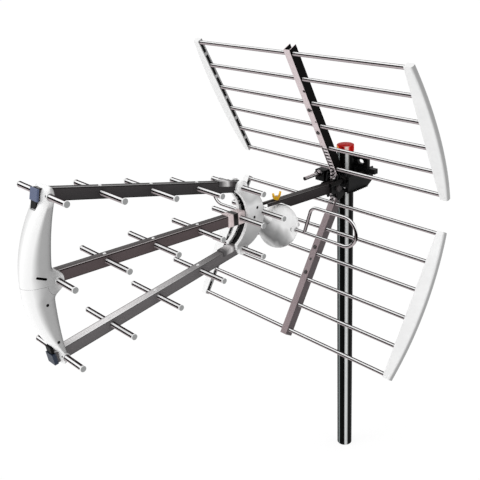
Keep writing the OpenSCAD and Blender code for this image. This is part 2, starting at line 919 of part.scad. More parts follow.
// blue plugs that close the mouths of the top and bottom booms
module front_plugs()
    color(blue)
        for (level = [-1, 1])
            boom_frame(level) {
                span([-10.5, level > 0 ? -14.5 : -18, -10], [10.5, -11.1, 9.2]);
                span([-6.4, -11.2, -8.4], [6.4, -5.4, 8.4]);
            }

// black tabs beside the plugs, toward the middle of the bracket
module plug_tabs()
    color(black)
        for (level = [-1, 1])
            boom_frame(level)
                if (level > 0)
                    span([-7.6, -13.6, -22], [7.6, -11.1, -10.15]);
                else
                    span([-7.6, -16.5, 9.35], [7.6, -11.1, 22]);

// reflector panels, drawn in the panel's own frame

back = channel_depth - front_face;

module channel(web_from)
    difference() {
        span([-bw, -front_face, -20], [bw, back, panel_len + 12]);
        span([-bw + channel_wall, -front_face + channel_wall, -40],
            [bw - channel_wall, back + 1, panel_len + 40]);
        // slanting cut that keeps the inner end clear of the mast
        plate_yz(-20, 20)
            polygon([[-front_face - 1, -21], [back + 1, 1.3], [back + 1, -40], [-front_face - 1, -40]]);
        // front web cut away at the inner end
        span([-bw + channel_wall, -front_face - 1, -40], [bw - channel_wall, 0, web_from]);
        for (i = [0:rod_count - 1])
            translate([0, 0, i * rod_pitch]) along_x(rod_r + seat_gap, -20, 20);
        for (i = [1:2])
            translate([0, 0, (i + 0.5) * rod_pitch + 16]) along_y(2.5 + seat_gap, -20, -2);
    }

pin_local_y = -pin_y * cos(lean) + inner_rod_y * cos(lean) + (pin_z - inner_rod_z) * sin(lean);
pin_local_z = (pin_y - inner_rod_y) * sin(lean) + (pin_z - inner_rod_z) * cos(lean);

module hinge_flat(height)
    difference() {
        union() {
            translate([pin_local_y, pin_local_z]) circle(r = 5);
            polygon([[pin_local_y - 3, pin_local_z + 4], [pin_local_y + 4, pin_local_z - 3],
                [back - 3, 4], [back - 3, height], [-front_face + channel_wall + 0.1, height],
                [-front_face + channel_wall + 0.1, 2]]);
        }
        for (i = [0:1])
            translate([0, i * rod_pitch]) circle(r = rod_r + seat_gap);
    }

// bracket inside the channel: two ears joined by a slotted front web
module hinge_bracket(height)
    difference() {
        union() {
            for (s = [0, 1])
                mirror([s, 0, 0])
                    plate_yz(4.6, bw - channel_wall - 0.1) hinge_flat(height);
            span([-5, -front_face + channel_wall + 0.1, 2], [5, -front_face + channel_wall + 1.7, height]);
        }
        for (k = [0:4])
            span([-3, -front_face - 1, 10 + 9 * k], [3, -front_face + 4, 14 + 9 * k]);
        for (i = [0:1])
            translate([0, 0, i * rod_pitch]) along_x(rod_r + seat_gap, -20, 20);
        translate([0, pin_local_y, pin_local_z]) along_x(pin_r + pin_gap, -20, 20);
    }

module rods()
    for (i = [0:rod_count - 1])
        translate([0, 0, i * rod_pitch])
            difference() {
                along_x(rod_r, -rod_half - 8, rod_half + 8);
                along_x(rod_r - 0.9, -rod_half - 9, rod_half + 9);
            }

// ring whose outer edge is rounded; the end piece is cut from it
module rim(r, half, edge)
    rotate([90, 0, 0])
        rotate_extrude($fn = 720)
            union() {
                translate([r - 60, -half]) square([60 - edge, 2 * half]);
                translate([r - 60, -half + edge]) square([60, 2 * (half - edge)]);
                translate([r - edge, half - edge]) circle(r = edge);
                translate([r - edge, -half + edge]) circle(r = edge);
            }

module end_piece() {
    cx = rod_half + end_width - end_arc;
    wall = 2.2;
    half = end_thick / 2;
    difference() {
        intersection() {
            translate([cx, 0, panel_len / 2]) rim(end_arc, half, 4.5);
            span([rod_half, -half, -6], [rod_half + end_width + 2, half, panel_len + 6]);
        }
        difference() {
            intersection() {
                translate([cx, 0, panel_len / 2]) rim(end_arc - wall, half - wall, 2.5);
                span([rod_half - 1, -half, -6 + wall], [rod_half + end_width + 2, half, panel_len + 6 - wall]);
            }
            // bosses for the rods and lugs between them
            for (i = [0:rod_count - 1])
                span([rod_half + 4, -half, i * rod_pitch - 5.4], [rod_half + 14, half, i * rod_pitch + 5.4]);
            for (i = [0:rod_count - 2])
                span([rod_half, -half, (i + 0.5) * rod_pitch - 3], [rod_half + 6, half, (i + 0.5) * rod_pitch + 3]);
        }
        for (i = [0:rod_count - 1])
            translate([0, 0, i * rod_pitch]) along_x(rod_r + seat_gap, rod_half - 1, rod_half + 8.1);
    }
}

// dark strips that close the open edge of the end pieces
module liners()
    for (s = [0, 1])
        mirror([s, 0, 0])
            difference() {
                span([rod_half + 1.6, -end_thick / 2 + 2.3, -3.4], [rod_half + 3.6, end_thick / 2 - 2.3, panel_len + 3.4]);
                for (i = [0:rod_count - 1])
                    translate([0, 0, i * rod_pitch]) along_x(rod_r + seat_gap, rod_half - 1, rod_half + 8);
                for (i = [0:rod_count - 2])
                    span([rod_half, -10, (i + 0.5) * rod_pitch - 3.1], [rod_half + 8, 10, (i + 0.5) * rod_pitch + 3.1]);
            }

module channel_screws()
    for (i = [1:2])
        translate([0, 0, (i + 0.5) * rod_pitch + 16]) {
            along_y(2.5, -front_face - 0.5, -2);
            along_y(4, -front_face - 2, -front_face - seat_gap);
        }

module upper_channel() color(dark) panel_frame(1) channel(66);

module upper_hinge() color(zinc) panel_frame(1) hinge_bracket(64);

module upper_rods() color(metal) panel_frame(1) rods();

module upper_end_left() color(white) panel_frame(1) mirror([1, 0, 0]) end_piece();

module upper_end_right() color(white) panel_frame(1) end_piece();

module upper_liners() color(dark) panel_frame(1) liners();

module upper_screws() color(zinc) panel_frame(1) channel_screws();

module lower_channel() color(dark) panel_frame(-1) channel(3.5);

module lower_hinge() color(zinc) panel_frame(-1) hinge_bracket(64);

module lower_rods() color(metal) panel_frame(-1) rods();

module lower_end_left() color(white) panel_frame(-1) mirror([1, 0, 0]) end_piece();

module lower_end_right() color(white) panel_frame(-1) end_piece();

module lower_liners() color(dark) panel_frame(-1) liners();

module lower_screws() color(zinc) panel_frame(-1) channel_screws();

mast_tube();
mast_cap();
clamp_side_left();
clamp_side_right();
clamp_rear_jaw();
clamp_bolts();
clamp_nuts();
tilt_bolt();
tilt_nut();
tilt_spacers();
main_boom();
carrier_left();
carrier_right();
hinge_pins();
lock_bolt();
housing_bolt();
boom_wing_nut();
dipole_housing();
dipole_cover();
balun_board();
coax_socket();
dipole_left();
dipole_right();
dipole_collars();
rear_bracket_left();
rear_bracket_right();
rear_bracket_core();
rear_bracket_screws();
boom_sockets();
boom_saddles();
director_boom_top();
director_boom_middle();
director_boom_bottom();
directors_top();
directors_middle();
directors_bottom();
director_dipole();
director_caps();
director_rivets();
front_bracket_upper();
front_bracket_lower();
front_grommets();
front_bracket_screws();
front_plugs();
plug_tabs();
upper_channel();
upper_hinge();
upper_rods();
upper_end_left();
upper_end_right();
upper_liners();
upper_screws();
lower_channel();
lower_hinge();
lower_rods();
lower_end_left();
lower_end_right();
lower_liners();
lower_screws();
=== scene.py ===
"""Outdoor UHF antenna on a mast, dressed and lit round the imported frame."""

import json
import logging
import math
from dataclasses import dataclass, field
from enum import Enum

import bmesh
import bpy
from mathutils import Matrix, Vector

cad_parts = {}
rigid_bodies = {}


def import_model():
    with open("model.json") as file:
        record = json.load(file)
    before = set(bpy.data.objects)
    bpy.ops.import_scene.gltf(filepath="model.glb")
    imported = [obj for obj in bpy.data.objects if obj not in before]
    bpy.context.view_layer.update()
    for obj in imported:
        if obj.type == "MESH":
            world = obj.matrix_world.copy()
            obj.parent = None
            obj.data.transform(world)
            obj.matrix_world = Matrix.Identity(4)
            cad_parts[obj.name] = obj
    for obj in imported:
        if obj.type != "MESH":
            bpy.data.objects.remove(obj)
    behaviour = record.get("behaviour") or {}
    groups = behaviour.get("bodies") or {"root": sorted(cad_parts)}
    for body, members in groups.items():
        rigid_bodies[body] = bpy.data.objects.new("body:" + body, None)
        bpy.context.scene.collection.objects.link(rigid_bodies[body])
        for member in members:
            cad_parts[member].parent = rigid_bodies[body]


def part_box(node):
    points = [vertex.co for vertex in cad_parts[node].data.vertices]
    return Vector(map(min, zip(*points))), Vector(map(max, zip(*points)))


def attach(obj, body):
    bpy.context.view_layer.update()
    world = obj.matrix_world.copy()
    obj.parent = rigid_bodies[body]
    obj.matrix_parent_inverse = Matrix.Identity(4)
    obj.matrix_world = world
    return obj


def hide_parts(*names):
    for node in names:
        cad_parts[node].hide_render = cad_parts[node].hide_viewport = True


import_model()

LOG = logging.getLogger("antenna")
MM = 0.001
CLAMP_HEIGHT = 687.2
PIVOT_OUT = 44.0
NOSE_UP = math.radians(3.3)
FRONT_OUT = 708.0
FRONT_SPREAD = 134.6
SLOPE = math.atan((134.6 - 60.1) / (708.0 - 314.4))

Colour = tuple[float, float, float]
Point = tuple[float, float, float]
Flat = tuple[float, float]


def tone(code: str) -> Colour:
    """Turns a display colour into the linear values that a shader takes.

    Args:
        code: six hex digits.

    Returns:
        Linear red, green and blue.
    """
    out = []
    for i in (0, 2, 4):
        v = int(code[i : i + 2], 16) / 255
        out.append(v / 12.92 if v <= 0.04045 else ((v + 0.055) / 1.055) ** 2.4)
    return (out[0], out[1], out[2])


def aerial(x: float, y: float, z: float) -> Vector:
    """Takes a point of the tilted aerial, in millimetres, to the frame in metres.

    Args:
        x: across the aerial.
        y: behind the mast's axis.
        z: above the booms' middle line.

    Returns:
        The point in the shared frame.
    """
    ry = y + PIVOT_OUT
    c, s = math.cos(NOSE_UP), math.sin(NOSE_UP)
    return Vector((x, -PIVOT_OUT + ry * c + z * s, CLAMP_HEIGHT - ry * s + z * c)) * MM


def boom_axis(level: int) -> tuple[Vector, Vector]:
    """Gives a point on a boom's axis, in metres, and its own upward direction.

    Args:
        level: 1, 0 or -1 for the top, middle or bottom boom, 2 for the main boom.

    Returns:
        The point and the unit vector.
    """
    height = FRONT_SPREAD * level if level < 2 else 0.0
    lean = SLOPE * level if level < 2 else 0.0
    origin = aerial(0.0, -FRONT_OUT, height)
    tip = aerial(0.0, -FRONT_OUT + math.sin(lean), height + math.cos(lean))
    return origin, (tip - origin).normalized()


class Facing(Enum):
    """Fixed directions that a finish grades its painted light and shade along."""

    ACROSS_ROD = (0.0, 0.485, 0.875)
    UP = (0.0, 0.0, 1.0)
    MAST_SIDE = (0.684, 0.729, 0.0)
    HOUSING_LIGHT = (0.2, 0.63, 0.75)
    SIDE = (1.0, 0.0, 0.0)
    FRONT_LEFT = (-0.455, -0.808, 0.375)


class Graph:
    """Short way to lay out one material's nodes."""

    def __init__(self, name: str) -> None:
        """Starts a material of the given name with a plain shader."""
        self.material = bpy.data.materials.new(name)
        self.material.use_nodes = True
        self.tree = self.material.node_tree
        self.shader = self.tree.nodes["Principled BSDF"]

    def node(self, kind: str, **values: object) -> bpy.types.Node:
        """Adds a node and sets the plain values that are named."""
        made = self.tree.nodes.new(kind)
        for key, value in values.items():
            setattr(made, key, value)
        return made

    def link(self, a: bpy.types.NodeSocket, b: bpy.types.NodeSocket) -> None:
        """Joins an output to an input."""
        self.tree.links.new(a, b)

    def facing(self, direction: Facing) -> bpy.types.NodeSocket:
        """Gives 0 where the surface faces away from a direction and 1 where it faces it."""
        coord = self.node("ShaderNodeTexCoord")
        dot = self.node("ShaderNodeVectorMath", operation="DOT_PRODUCT")
        dot.inputs[1].default_value = direction.value
        self.link(coord.outputs["Normal"], dot.inputs[0])
        half = self.node("ShaderNodeMath", operation="MULTIPLY_ADD")
        half.inputs[1].default_value = 0.5
        half.inputs[2].default_value = 0.5
        self.link(dot.outputs["Value"], half.inputs[0])
        return half.outputs[0]

    def place(self, axis: int) -> bpy.types.NodeSocket:
        """Gives the surface point's x, y or z in metres."""
        coord = self.node("ShaderNodeTexCoord")
        split = self.node("ShaderNodeSeparateXYZ")
        self.link(coord.outputs["Object"], split.inputs[0])
        return split.outputs[axis]

    def ramp(
        self, source: bpy.types.NodeSocket, stops: tuple[tuple[float, Colour], ...]
    ) -> bpy.types.NodeSocket:
        """Grades colours along a value.

        Args:
            source: the value from 0 to 1.
            stops: places and colours, in rising order.

        Returns:
            The colour output.
        """
        made = self.node("ShaderNodeValToRGB")
        band = made.color_ramp
        while len(band.elements) < len(stops):
            band.elements.new(0.5)
        for element, (place, colour) in zip(band.elements, stops):
            element.position = place
            element.color = (*colour, 1.0)
        self.link(source, made.inputs[0])
        return made.outputs[0]

    def noise(self, scale: float, detail: float = 3.0, stretch: Point = (1, 1, 1)) -> bpy.types.NodeSocket:
        """Gives a fine irregular value in the object's own space."""
        coord = self.node("ShaderNodeTexCoord")
        mapping = self.node("ShaderNodeMapping")
        mapping.inputs["Scale"].default_value = stretch
        made = self.node("ShaderNodeTexNoise")
        made.inputs["Scale"].default_value = scale
        made.inputs["Detail"].default_value = detail
        self.link(coord.outputs["Object"], mapping.inputs[0])
        self.link(mapping.outputs[0], made.inputs["Vector"])
        return made.outputs[0]

    def mix(
        self,
        factor: bpy.types.NodeSocket | float,
        a: bpy.types.NodeSocket | Colour,
        b: bpy.types.NodeSocket | Colour,
        how: str = "MIX",
    ) -> bpy.types.NodeSocket:
        """Mixes two colours.

        Args:
            factor: share of the second colour, fixed or from a node.
            a: first colour.
            b: second colour.
            how: the blend's kind.

        Returns:
            The mixed colour.
        """
        made = self.node("ShaderNodeMix", data_type="RGBA", blend_type=how)
        for socket, value in ((made.inputs[0], factor), (made.inputs[6], a), (made.inputs[7], b)):
            if isinstance(value, bpy.types.NodeSocket):
                self.link(value, socket)
            elif isinstance(value, tuple):
                socket.default_value = (*value, 1.0)
            else:
                socket.default_value = value
        return made.outputs[2]

    def span(self, source: bpy.types.NodeSocket, lo: float, hi: float, a: float, b: float) -> bpy.types.NodeSocket:
        """Maps a value from one range to another, held at the ends."""
        made = self.node("ShaderNodeMapRange")
        for i, v in enumerate((lo, hi, a, b)):
            made.inputs[1 + i].default_value = v
        self.link(source, made.inputs[0])
        return made.outputs[0]

    def near(self, spot: Point, full: float, gone: float) -> bpy.types.NodeSocket:
        """Gives 1 within a distance of a point and 0 beyond a further one, in metres."""
        coord = self.node("ShaderNodeTexCoord")
        away = self.node("ShaderNodeVectorMath", operation="DISTANCE")
        away.inputs[1].default_value = spot
        self.link(coord.outputs["Object"], away.inputs[0])
        return self.span(away.outputs["Value"], full, gone, 1.0, 0.0)

    def bump(self, height: bpy.types.NodeSocket, distance: float, strength: float) -> None:
        """Roughens the surface by a height value."""
        made = self.node("ShaderNodeBump")
        made.inputs["Strength"].default_value = strength
        made.inputs["Distance"].default_value = distance
        self.link(height, made.inputs["Height"])
        self.link(made.outputs[0], self.shader.inputs["Normal"])

    def surface(self, metallic: float, roughness: float, shine: float) -> None:
        """Sets the shader's own plain values."""
        self.shader.inputs["Metallic"].default_value = metallic
        self.shader.inputs["Roughness"].default_value = roughness
        self.shader.inputs["Specular IOR Level"].default_value = shine


@dataclass(frozen=True)
class Banded:
    """Surface with painted highlights, reflections and shade, laid as streaks or a fall-off along one direction.

    Args:
        name: the material's name.
        facing: direction that the tones are laid along.
        stops: places and display colours of the painted light and shade, from facing away to facing it.
        metallic: share of metal.
        roughness: surface roughness.
        grain: strength of the fine irregular tone.
        shine: strength of the plain reflection.
        top: display colour painted on upward faces in place of the ramp, as their painted shade, or nothing.
        spots: places of painted highlights and of the painted shade of holes, their inner and outer radius and
            colour.
    """

    name: str
    facing: Facing
    stops: tuple[tuple[float, str], ...]
    metallic: float = 0.0
    roughness: float = 0.3
    grain: float = 0.05
    shine: float = 0.3
    top: str = ""
    spots: tuple[tuple[Point, float, float, str], ...] = ()

    def material(self) -> bpy.types.Material:
        """Builds the node material."""
        g = Graph(self.name)
        stops = tuple((p, tone(c)) for p, c in self.stops)
        # The ramp paints highlights, reflections and shade by the way the surface faces.
        colour = g.ramp(g.facing(self.facing), stops)
        # Upward faces can take a colour of their own as painted shade.
        if self.top:
            colour = g.mix(g.span(g.facing(Facing.UP), 0.9, 0.97, 0.0, 1.0), colour, tone(self.top))
        # Spots paint highlights and the shade of holes.
        for spot, full, gone, patch in self.spots:
            colour = g.mix(g.near(spot, full, gone), colour, tone(patch))
        grain = g.span(g.noise(60.0, 2.0, (0.3, 1, 1)), 0.3, 0.7, 1.0 - self.grain, 1.0)
        g.link(g.mix(1.0, colour, grain, "MULTIPLY"), g.shader.inputs["Base Color"])
        g.surface(self.metallic, self.roughness, self.shine)
        return g.material


def hole_shade_spots(places: tuple[Point, ...], colour: str) -> tuple[tuple[Point, float, float, str], ...]:
    """Gives painted dark spots that stand for the shade in small holes of a channel's web.

    Args:
        places: the holes in the aerial's millimetres.
        colour: display colour of the painted shade in a hole.

    Returns:
        Spots for a banded finish.
    """
    return tuple((tuple(aerial(*place)), 0.0026, 0.0036, colour) for place in places)


@dataclass(frozen=True)
class Plain:
    """Paint, plastic or cast metal with a little irregular tone.

    Args:
        name: the material's name.
        colour: display colour.
        second: display colour of the irregular patches.
        metallic: share of metal.
        roughness: surface roughness.
        scale: fineness of the patches.
        bump: height of the surface grain in metres.
        shine: strength of the plain reflection.
    """

    name: str
    colour: str
    second: str
    metallic: float = 0.0
    roughness: float = 0.4
    scale: float = 60.0
    bump: float = 0.0
    shine: float = 0.25

    def material(self) -> bpy.types.Material:
        """Builds the node material."""
        g = Graph(self.name)
        patch = g.noise(self.scale)
        factor = g.span(patch, 0.35, 0.65, 0.0, 1.0)
        g.link(g.mix(factor, tone(self.colour), tone(self.second)), g.shader.inputs["Base Color"])
        g.surface(self.metallic, self.roughness, self.shine)
        if self.bump:
            g.bump(g.noise(self.scale * 9), self.bump, 0.6)
        return g.material


@dataclass(frozen=True)
class BoomFinishAndPaintedLight:
    """Dark anodised box section: its top and its sides have lines of their own, painted highlight and shade lines.

    Args:
        name: the material's name.
        level: 1, 0 or -1 for the top, middle or bottom boom, 2 for the main boom.
        top: places across the top in millimetres and display colours of its painted highlight and shade lines.
        side: heights on the sides in millimetres and display colours of their painted highlight and shade lines.
        rear_shade: display colour of the painted shade that the top turns to at the rear.
        front: place of the front end, in metres.
        rear: place of the rear end, in metres.
    """

    name: str
    level: int
    top: tuple[tuple[float, str], ...]
    side: tuple[tuple[float, str], ...]
    rear_shade: str = "ffffff"
    front: float = -0.70
    rear: float = -0.33

    def height(self, g: Graph) -> bpy.types.NodeSocket:
        """Gives the height above the boom's own axis, in metres."""
        origin, up = boom_axis(self.level)
        coord = g.node("ShaderNodeTexCoord")
        rise = g.node("ShaderNodeVectorMath", operation="DOT_PRODUCT")
        rise.inputs[1].default_value = up
        g.link(coord.outputs["Object"], rise.inputs[0])
        less = g.node("ShaderNodeMath", operation="SUBTRACT")
        g.link(rise.outputs["Value"], less.inputs[0])
        less.inputs[1].default_value = origin.dot(up)
        return less.outputs[0]

    def material(self) -> bpy.types.Material:
        """Builds the node material."""
        g = Graph(self.name)
        across = g.span(g.place(0), -0.010, 0.010, 0.0, 1.0)
        # Painted highlight and shade lines across the top, fading into painted shade towards the rear.
        top = g.ramp(across, tuple(((x + 10) / 20, tone(c)) for x, c in self.top))
        along = g.span(g.place(1), self.front, self.rear, 0.0, 1.0)
        top = g.mix(1.0, top, g.mix(along, tone("ffffff"), tone(self.rear_shade)), "MULTIPLY")
        down = g.span(self.height(g), -0.012, 0.012, 0.0, 1.0)
        # Painted highlight and shade lines on the sides.
        side = g.ramp(down, tuple(((h + 12) / 24, tone(c)) for h, c in self.side))
        is_top = g.span(g.facing(Facing.UP), 0.86, 0.90, 0.0, 1.0)
        colour = g.mix(is_top, side, top)
        grain = g.span(g.noise(120.0, 2.0, (1, 0.06, 1)), 0.3, 0.7, 0.92, 1.0)
        g.link(g.mix(1.0, colour, grain, "MULTIPLY"), g.shader.inputs["Base Color"])
        g.surface(0.0, 0.4, 0.05)
        return g.material


@dataclass(frozen=True)
class Laid:
    """Finish whose colour is laid along one of the part's own directions.

    Args:
        name: the material's name.
        axis: 0, 1 or 2 for across, along or up.
        stops: places in metres and display colours.
        metallic: share of metal.
        roughness: surface roughness.
        shine: strength of the plain reflection.
        streaks: painted reflection tones from downward to upward faces, laid over the colour.
    """

    name: str
    axis: int
    stops: tuple[tuple[float, str], ...]
    metallic: float = 0.0
    roughness: float = 0.35
    shine: float = 0.2
    streaks: tuple[tuple[float, str], ...] = ((0.0, "ffffff"), (1.0, "ffffff"))

    def material(self) -> bpy.types.Material:
        """Builds the node material."""
        g = Graph(self.name)
        low, high = self.stops[0][0], self.stops[-1][0]
        level = g.span(g.place(self.axis), low, high, 0.0, 1.0)
        colour = g.ramp(level, tuple(((v - low) / (high - low), tone(c)) for v, c in self.stops))
        # Painted reflection streaks by the way the surface faces.
        over = g.ramp(g.facing(Facing.UP), tuple((p, tone(c)) for p, c in self.streaks))
        colour = g.mix(1.0, colour, over, "MULTIPLY")
        grain = g.span(g.noise(140.0), 0.3, 0.7, 0.92, 1.0)
        g.link(g.mix(1.0, colour, grain, "MULTIPLY"), g.shader.inputs["Base Color"])
        g.surface(self.metallic, self.roughness, self.shine)
        return g.material


@dataclass(frozen=True)
class Slotted:
    """Bright plate with a row of short dark slots painted across its middle, as painted shade of slot openings.

    Args:
        name: the material's name.
        colour: display colour of the plate.
        slot: display colour of the painted shade in the slots.
        pitch: distance of the slots above or below the boom, one from the next, in metres.
        start: distance of the first slot's near edge from the boom's middle, in metres.
        share: part of the pitch that a slot takes.
        half: half length of a slot in metres.
    """

    name: str
    colour: str
    slot: str
    pitch: float
    start: float
    share: float
    half: float

    def material(self) -> bpy.types.Material:
        """Builds the node material."""
        g = Graph(self.name)
        origin, up = boom_axis(2)
        above = g.node("ShaderNodeVectorMath", operation="DOT_PRODUCT")
        above.inputs[1].default_value = up
        g.link(g.node("ShaderNodeTexCoord").outputs["Object"], above.inputs[0])
        less = g.node("ShaderNodeMath", operation="SUBTRACT")
        g.link(above.outputs["Value"], less.inputs[0])
        less.inputs[1].default_value = origin.dot(up)
        away = g.node("ShaderNodeMath", operation="ABSOLUTE")
        g.link(less.outputs[0], away.inputs[0])
        past = g.node("ShaderNodeMath", operation="SUBTRACT")
        g.link(away.outputs[0], past.inputs[0])
        past.inputs[1].default_value = self.start
        rise = g.node("ShaderNodeMath", operation="DIVIDE")
        g.link(past.outputs[0], rise.inputs[0])
        rise.inputs[1].default_value = self.pitch
        part = g.node("ShaderNodeMath", operation="FRACT")
        g.link(rise.outputs[0], part.inputs[0])
        side = g.node("ShaderNodeMath", operation="ABSOLUTE")
        g.link(g.place(0), side.inputs[0])
        # row and inside mark where the painted shade of the slots goes.
        row = g.span(part.outputs[0], self.share - 0.06, self.share + 0.06, 1.0, 0.0)
        inside = g.span(side.outputs[0], self.half - 0.0004, self.half + 0.0004, 1.0, 0.0)
        both = g.node("ShaderNodeMath", operation="MULTIPLY")
        g.link(row, both.inputs[0])
        g.link(inside, both.inputs[1])
        worn = g.mix(g.span(g.noise(220.0), 0.35, 0.65, 0.0, 1.0), tone(self.colour), tone("c8bec0"))
        g.link(g.mix(both.outputs[0], worn, tone(self.slot)), g.shader.inputs["Base Color"])
        g.surface(0.0, 0.35, 0.2)
        return g.material


@dataclass(frozen=True)
class HeightPaintedLight:
    """White moulding with painted soft reflections by height on its broad sides and painted shade on its other
    faces.

    Args:
        name: the material's name.
        heights: places in metres and display colours of the painted reflections on the broad sides.
        edge: stops of the painted shade along the front-left direction on all other faces.
        waver: size of the soft irregular painted reflections.
    """

    name: str
    heights: tuple[tuple[float, str], ...]
    edge: tuple[tuple[float, str], ...]
    waver: float = 0.012

    def material(self) -> bpy.types.Material:
        """Builds the node material."""
        g = Graph(self.name)
        low, high = self.heights[0][0], self.heights[-1][0]
        shift = g.span(g.noise(26.0, 1.0), 0.25, 0.75, -self.waver, self.waver)
        total = g.node("ShaderNodeMath", operation="ADD")
        g.link(g.place(2), total.inputs[0])
        g.link(shift, total.inputs[1])
        level = g.span(total.outputs[0], low, high, 0.0, 1.0)
        # broad carries the painted reflections by height, other the painted shade by facing.
        broad = g.ramp(level, tuple(((z - low) / (high - low), tone(c)) for z, c in self.heights))
        other = g.ramp(g.facing(Facing.FRONT_LEFT), tuple((p, tone(c)) for p, c in self.edge))
        flat = g.span(g.facing(Facing.SIDE), 0.93, 0.985, 0.0, 1.0)
        g.link(g.mix(flat, other, broad), g.shader.inputs["Base Color"])
        g.surface(0.0, 0.28, 0.35)
        return g.material


@dataclass(frozen=True)
class PaintedSheen:
    """White gloss with painted reflections and shade in soft irregular patches round a light direction.

    Args:
        name: the material's name.
        facing: direction that the tones are laid along.
        stops: places and display colours.
        waver: how far the painted patches stray.
    """

    name: str
    facing: Facing
    stops: tuple[tuple[float, str], ...]
    waver: float = 0.07

    def material(self) -> bpy.types.Material:
        """Builds the node material."""
        g = Graph(self.name)
        shift = g.span(g.noise(30.0, 2.5, (1.0, 1.0, 0.6)), 0.3, 0.7, -self.waver, self.waver)
        total = g.node("ShaderNodeMath", operation="ADD")
        g.link(g.facing(self.facing), total.inputs[0])
        g.link(shift, total.inputs[1])
        # The ramp paints reflections and shade round the light direction.
        colour = g.ramp(total.outputs[0], tuple((p, tone(c)) for p, c in self.stops))
        g.link(colour, g.shader.inputs["Base Color"])
        g.surface(0.0, 0.2, 0.4)
        return g.material


# Painted reflections on the rods: dark bands and a white highlight by the way the surface faces.
ROD_REFLECTION_STOPS = (
    (0.00, "8a8284"),
    (0.08, "b8aeb0"),
    (0.24, "b0a6a8"),
    (0.30, "1a1012"),
    (0.34, "080304"),
    (0.52, "080304"),
    (0.56, "f4f4f4"),
    (0.60, "ffffff"),
    (0.80, "ffffff"),
    (0.84, "4a4446"),
    (1.00, "2a2426"),
)
# Painted shade on white parts: white where they face the front-left, grey as they turn away from it.
WHITE_SHADE_FALL = (
    (0.00, "505050"),
    (0.14, "787878"),
    (0.22, "b0b0b0"),
    (0.28, "c6c6c6"),
    (0.38, "e0e0e0"),
    (0.50, "fafafa"),
    (1.00, "ffffff"),
)

ROD_PAINTED_REFLECTIONS = Banded("rod_painted_reflections", Facing.ACROSS_ROD, ROD_REFLECTION_STOPS, 0.0, 0.5, 0.06, 0.0)
# Painted highlights on the black mast: a thin light line and a bright stripe by the way it faces.
MAST_HIGHLIGHT_STOPS = (
    (0.000, "0a0c0c"),
    (0.055, "0c0e0e"),
    (0.075, "8c9494"),
    (0.110, "7c8484"),
    (0.130, "040606"),
    (0.420, "020202"),
    (0.445, "bcbebe"),
    (0.550, "e6e8e8"),
    (0.640, "9c9e9c"),
    (0.680, "0c0c0c"),
    (1.000, "020202"),
)
# Painted highlights on the red cap, and on its top a darker red as painted shade.
CAP_HIGHLIGHT_STOPS = (
    (0.00, "7a0406"),
    (0.06, "ffb060"),
    (0.12, "d41008"),
    (0.30, "780404"),
    (0.38, "d01a14"),
    (0.46, "fff0e8"),
    (0.58, "ffd8cc"),
    (0.66, "d01c14"),
    (0.82, "a00806"),
    (1.00, "d81c12"),
)
MAST_BLACK_AND_HIGHLIGHTS = Banded("mast_black_painted_highlights", Facing.MAST_SIDE, MAST_HIGHLIGHT_STOPS, 0.0, 0.35, 0.04, 0.04)
CAP_RED = Banded("cap_red_painted_highlights", Facing.MAST_SIDE, CAP_HIGHLIGHT_STOPS, 0.0, 0.4, 0.03, 0.03, "ac100b")
CAST_DARK = Plain("cast_clamp", "0f0f10", "050506", 0.0, 0.5, 40.0, 0.0002, 0.12)
ZINC = Plain("bright_zinc", "c4c1c2", "8f8c8d", 0.6, 0.32, 150.0)
# Its dark slots are painted shade; they lie over the plate's cut slots and run past their ends.
HINGE_PLATE = Slotted("hinge_plate", "faf2f4", "0c090a", 0.007856, 0.04449, 0.444, 0.0062)
# Zinc bolts and nuts: painted shade darkens them towards +x, and painted reflection streaks run by the way they
# face.
BOLT_ZINC_SHADED = Laid(
    "bolt_zinc_painted_light",
    0,
    ((-0.03, "f4eeef"), (0.0, "a8a4a5"), (0.012, "242222"), (0.04, "1a1818")),
    0.0,
    0.4,
    0.05,
    ((0.0, "4a4647"), (0.40, "6a6667"), (0.46, "1c191a"), (0.56, "1c191a"), (0.60, "f8f8f8"), (0.78, "ffffff"),
     (0.82, "5a5657"), (0.90, "787475"), (0.94, "e8e4e5"), (1.0, "f0ecec")),
)
DARK_ZINC = Plain("dark_zinc", "4a4546", "2c2829", 0.1, 0.4, 200.0, 0.0, 0.15)
# Painted sheen on the boom saddles: a bright reflection band between dark ones along the boom.
SADDLE_PAINTED_SHEEN = Laid(
    "saddle_painted_sheen",
    1,
    ((-0.368, "2e2c2d"), (-0.356, "5c5a5b"), (-0.348, "b4b2b2"), (-0.341, "dcdada"), (-0.335, "6a6667"),
     (-0.328, "3a3637"), (-0.315, "2a2728")),
)
# Painted shade for the inside walls of holes, pockets, the slot, the seams and the housing.
HOLE_SHADE = Plain("hole_painted_shade", "101010", "060606", 0.0, 0.8, 80.0, 0.0, 0.1)
BLACK_PLASTIC = Plain("black_plastic", "0c0c0d", "050506", 0.0, 0.45, 80.0, 0.0, 0.1)
WHITE = Banded("white_painted_shade", Facing.FRONT_LEFT, WHITE_SHADE_FALL, 0.0, 0.3, 0.02, 0.3)
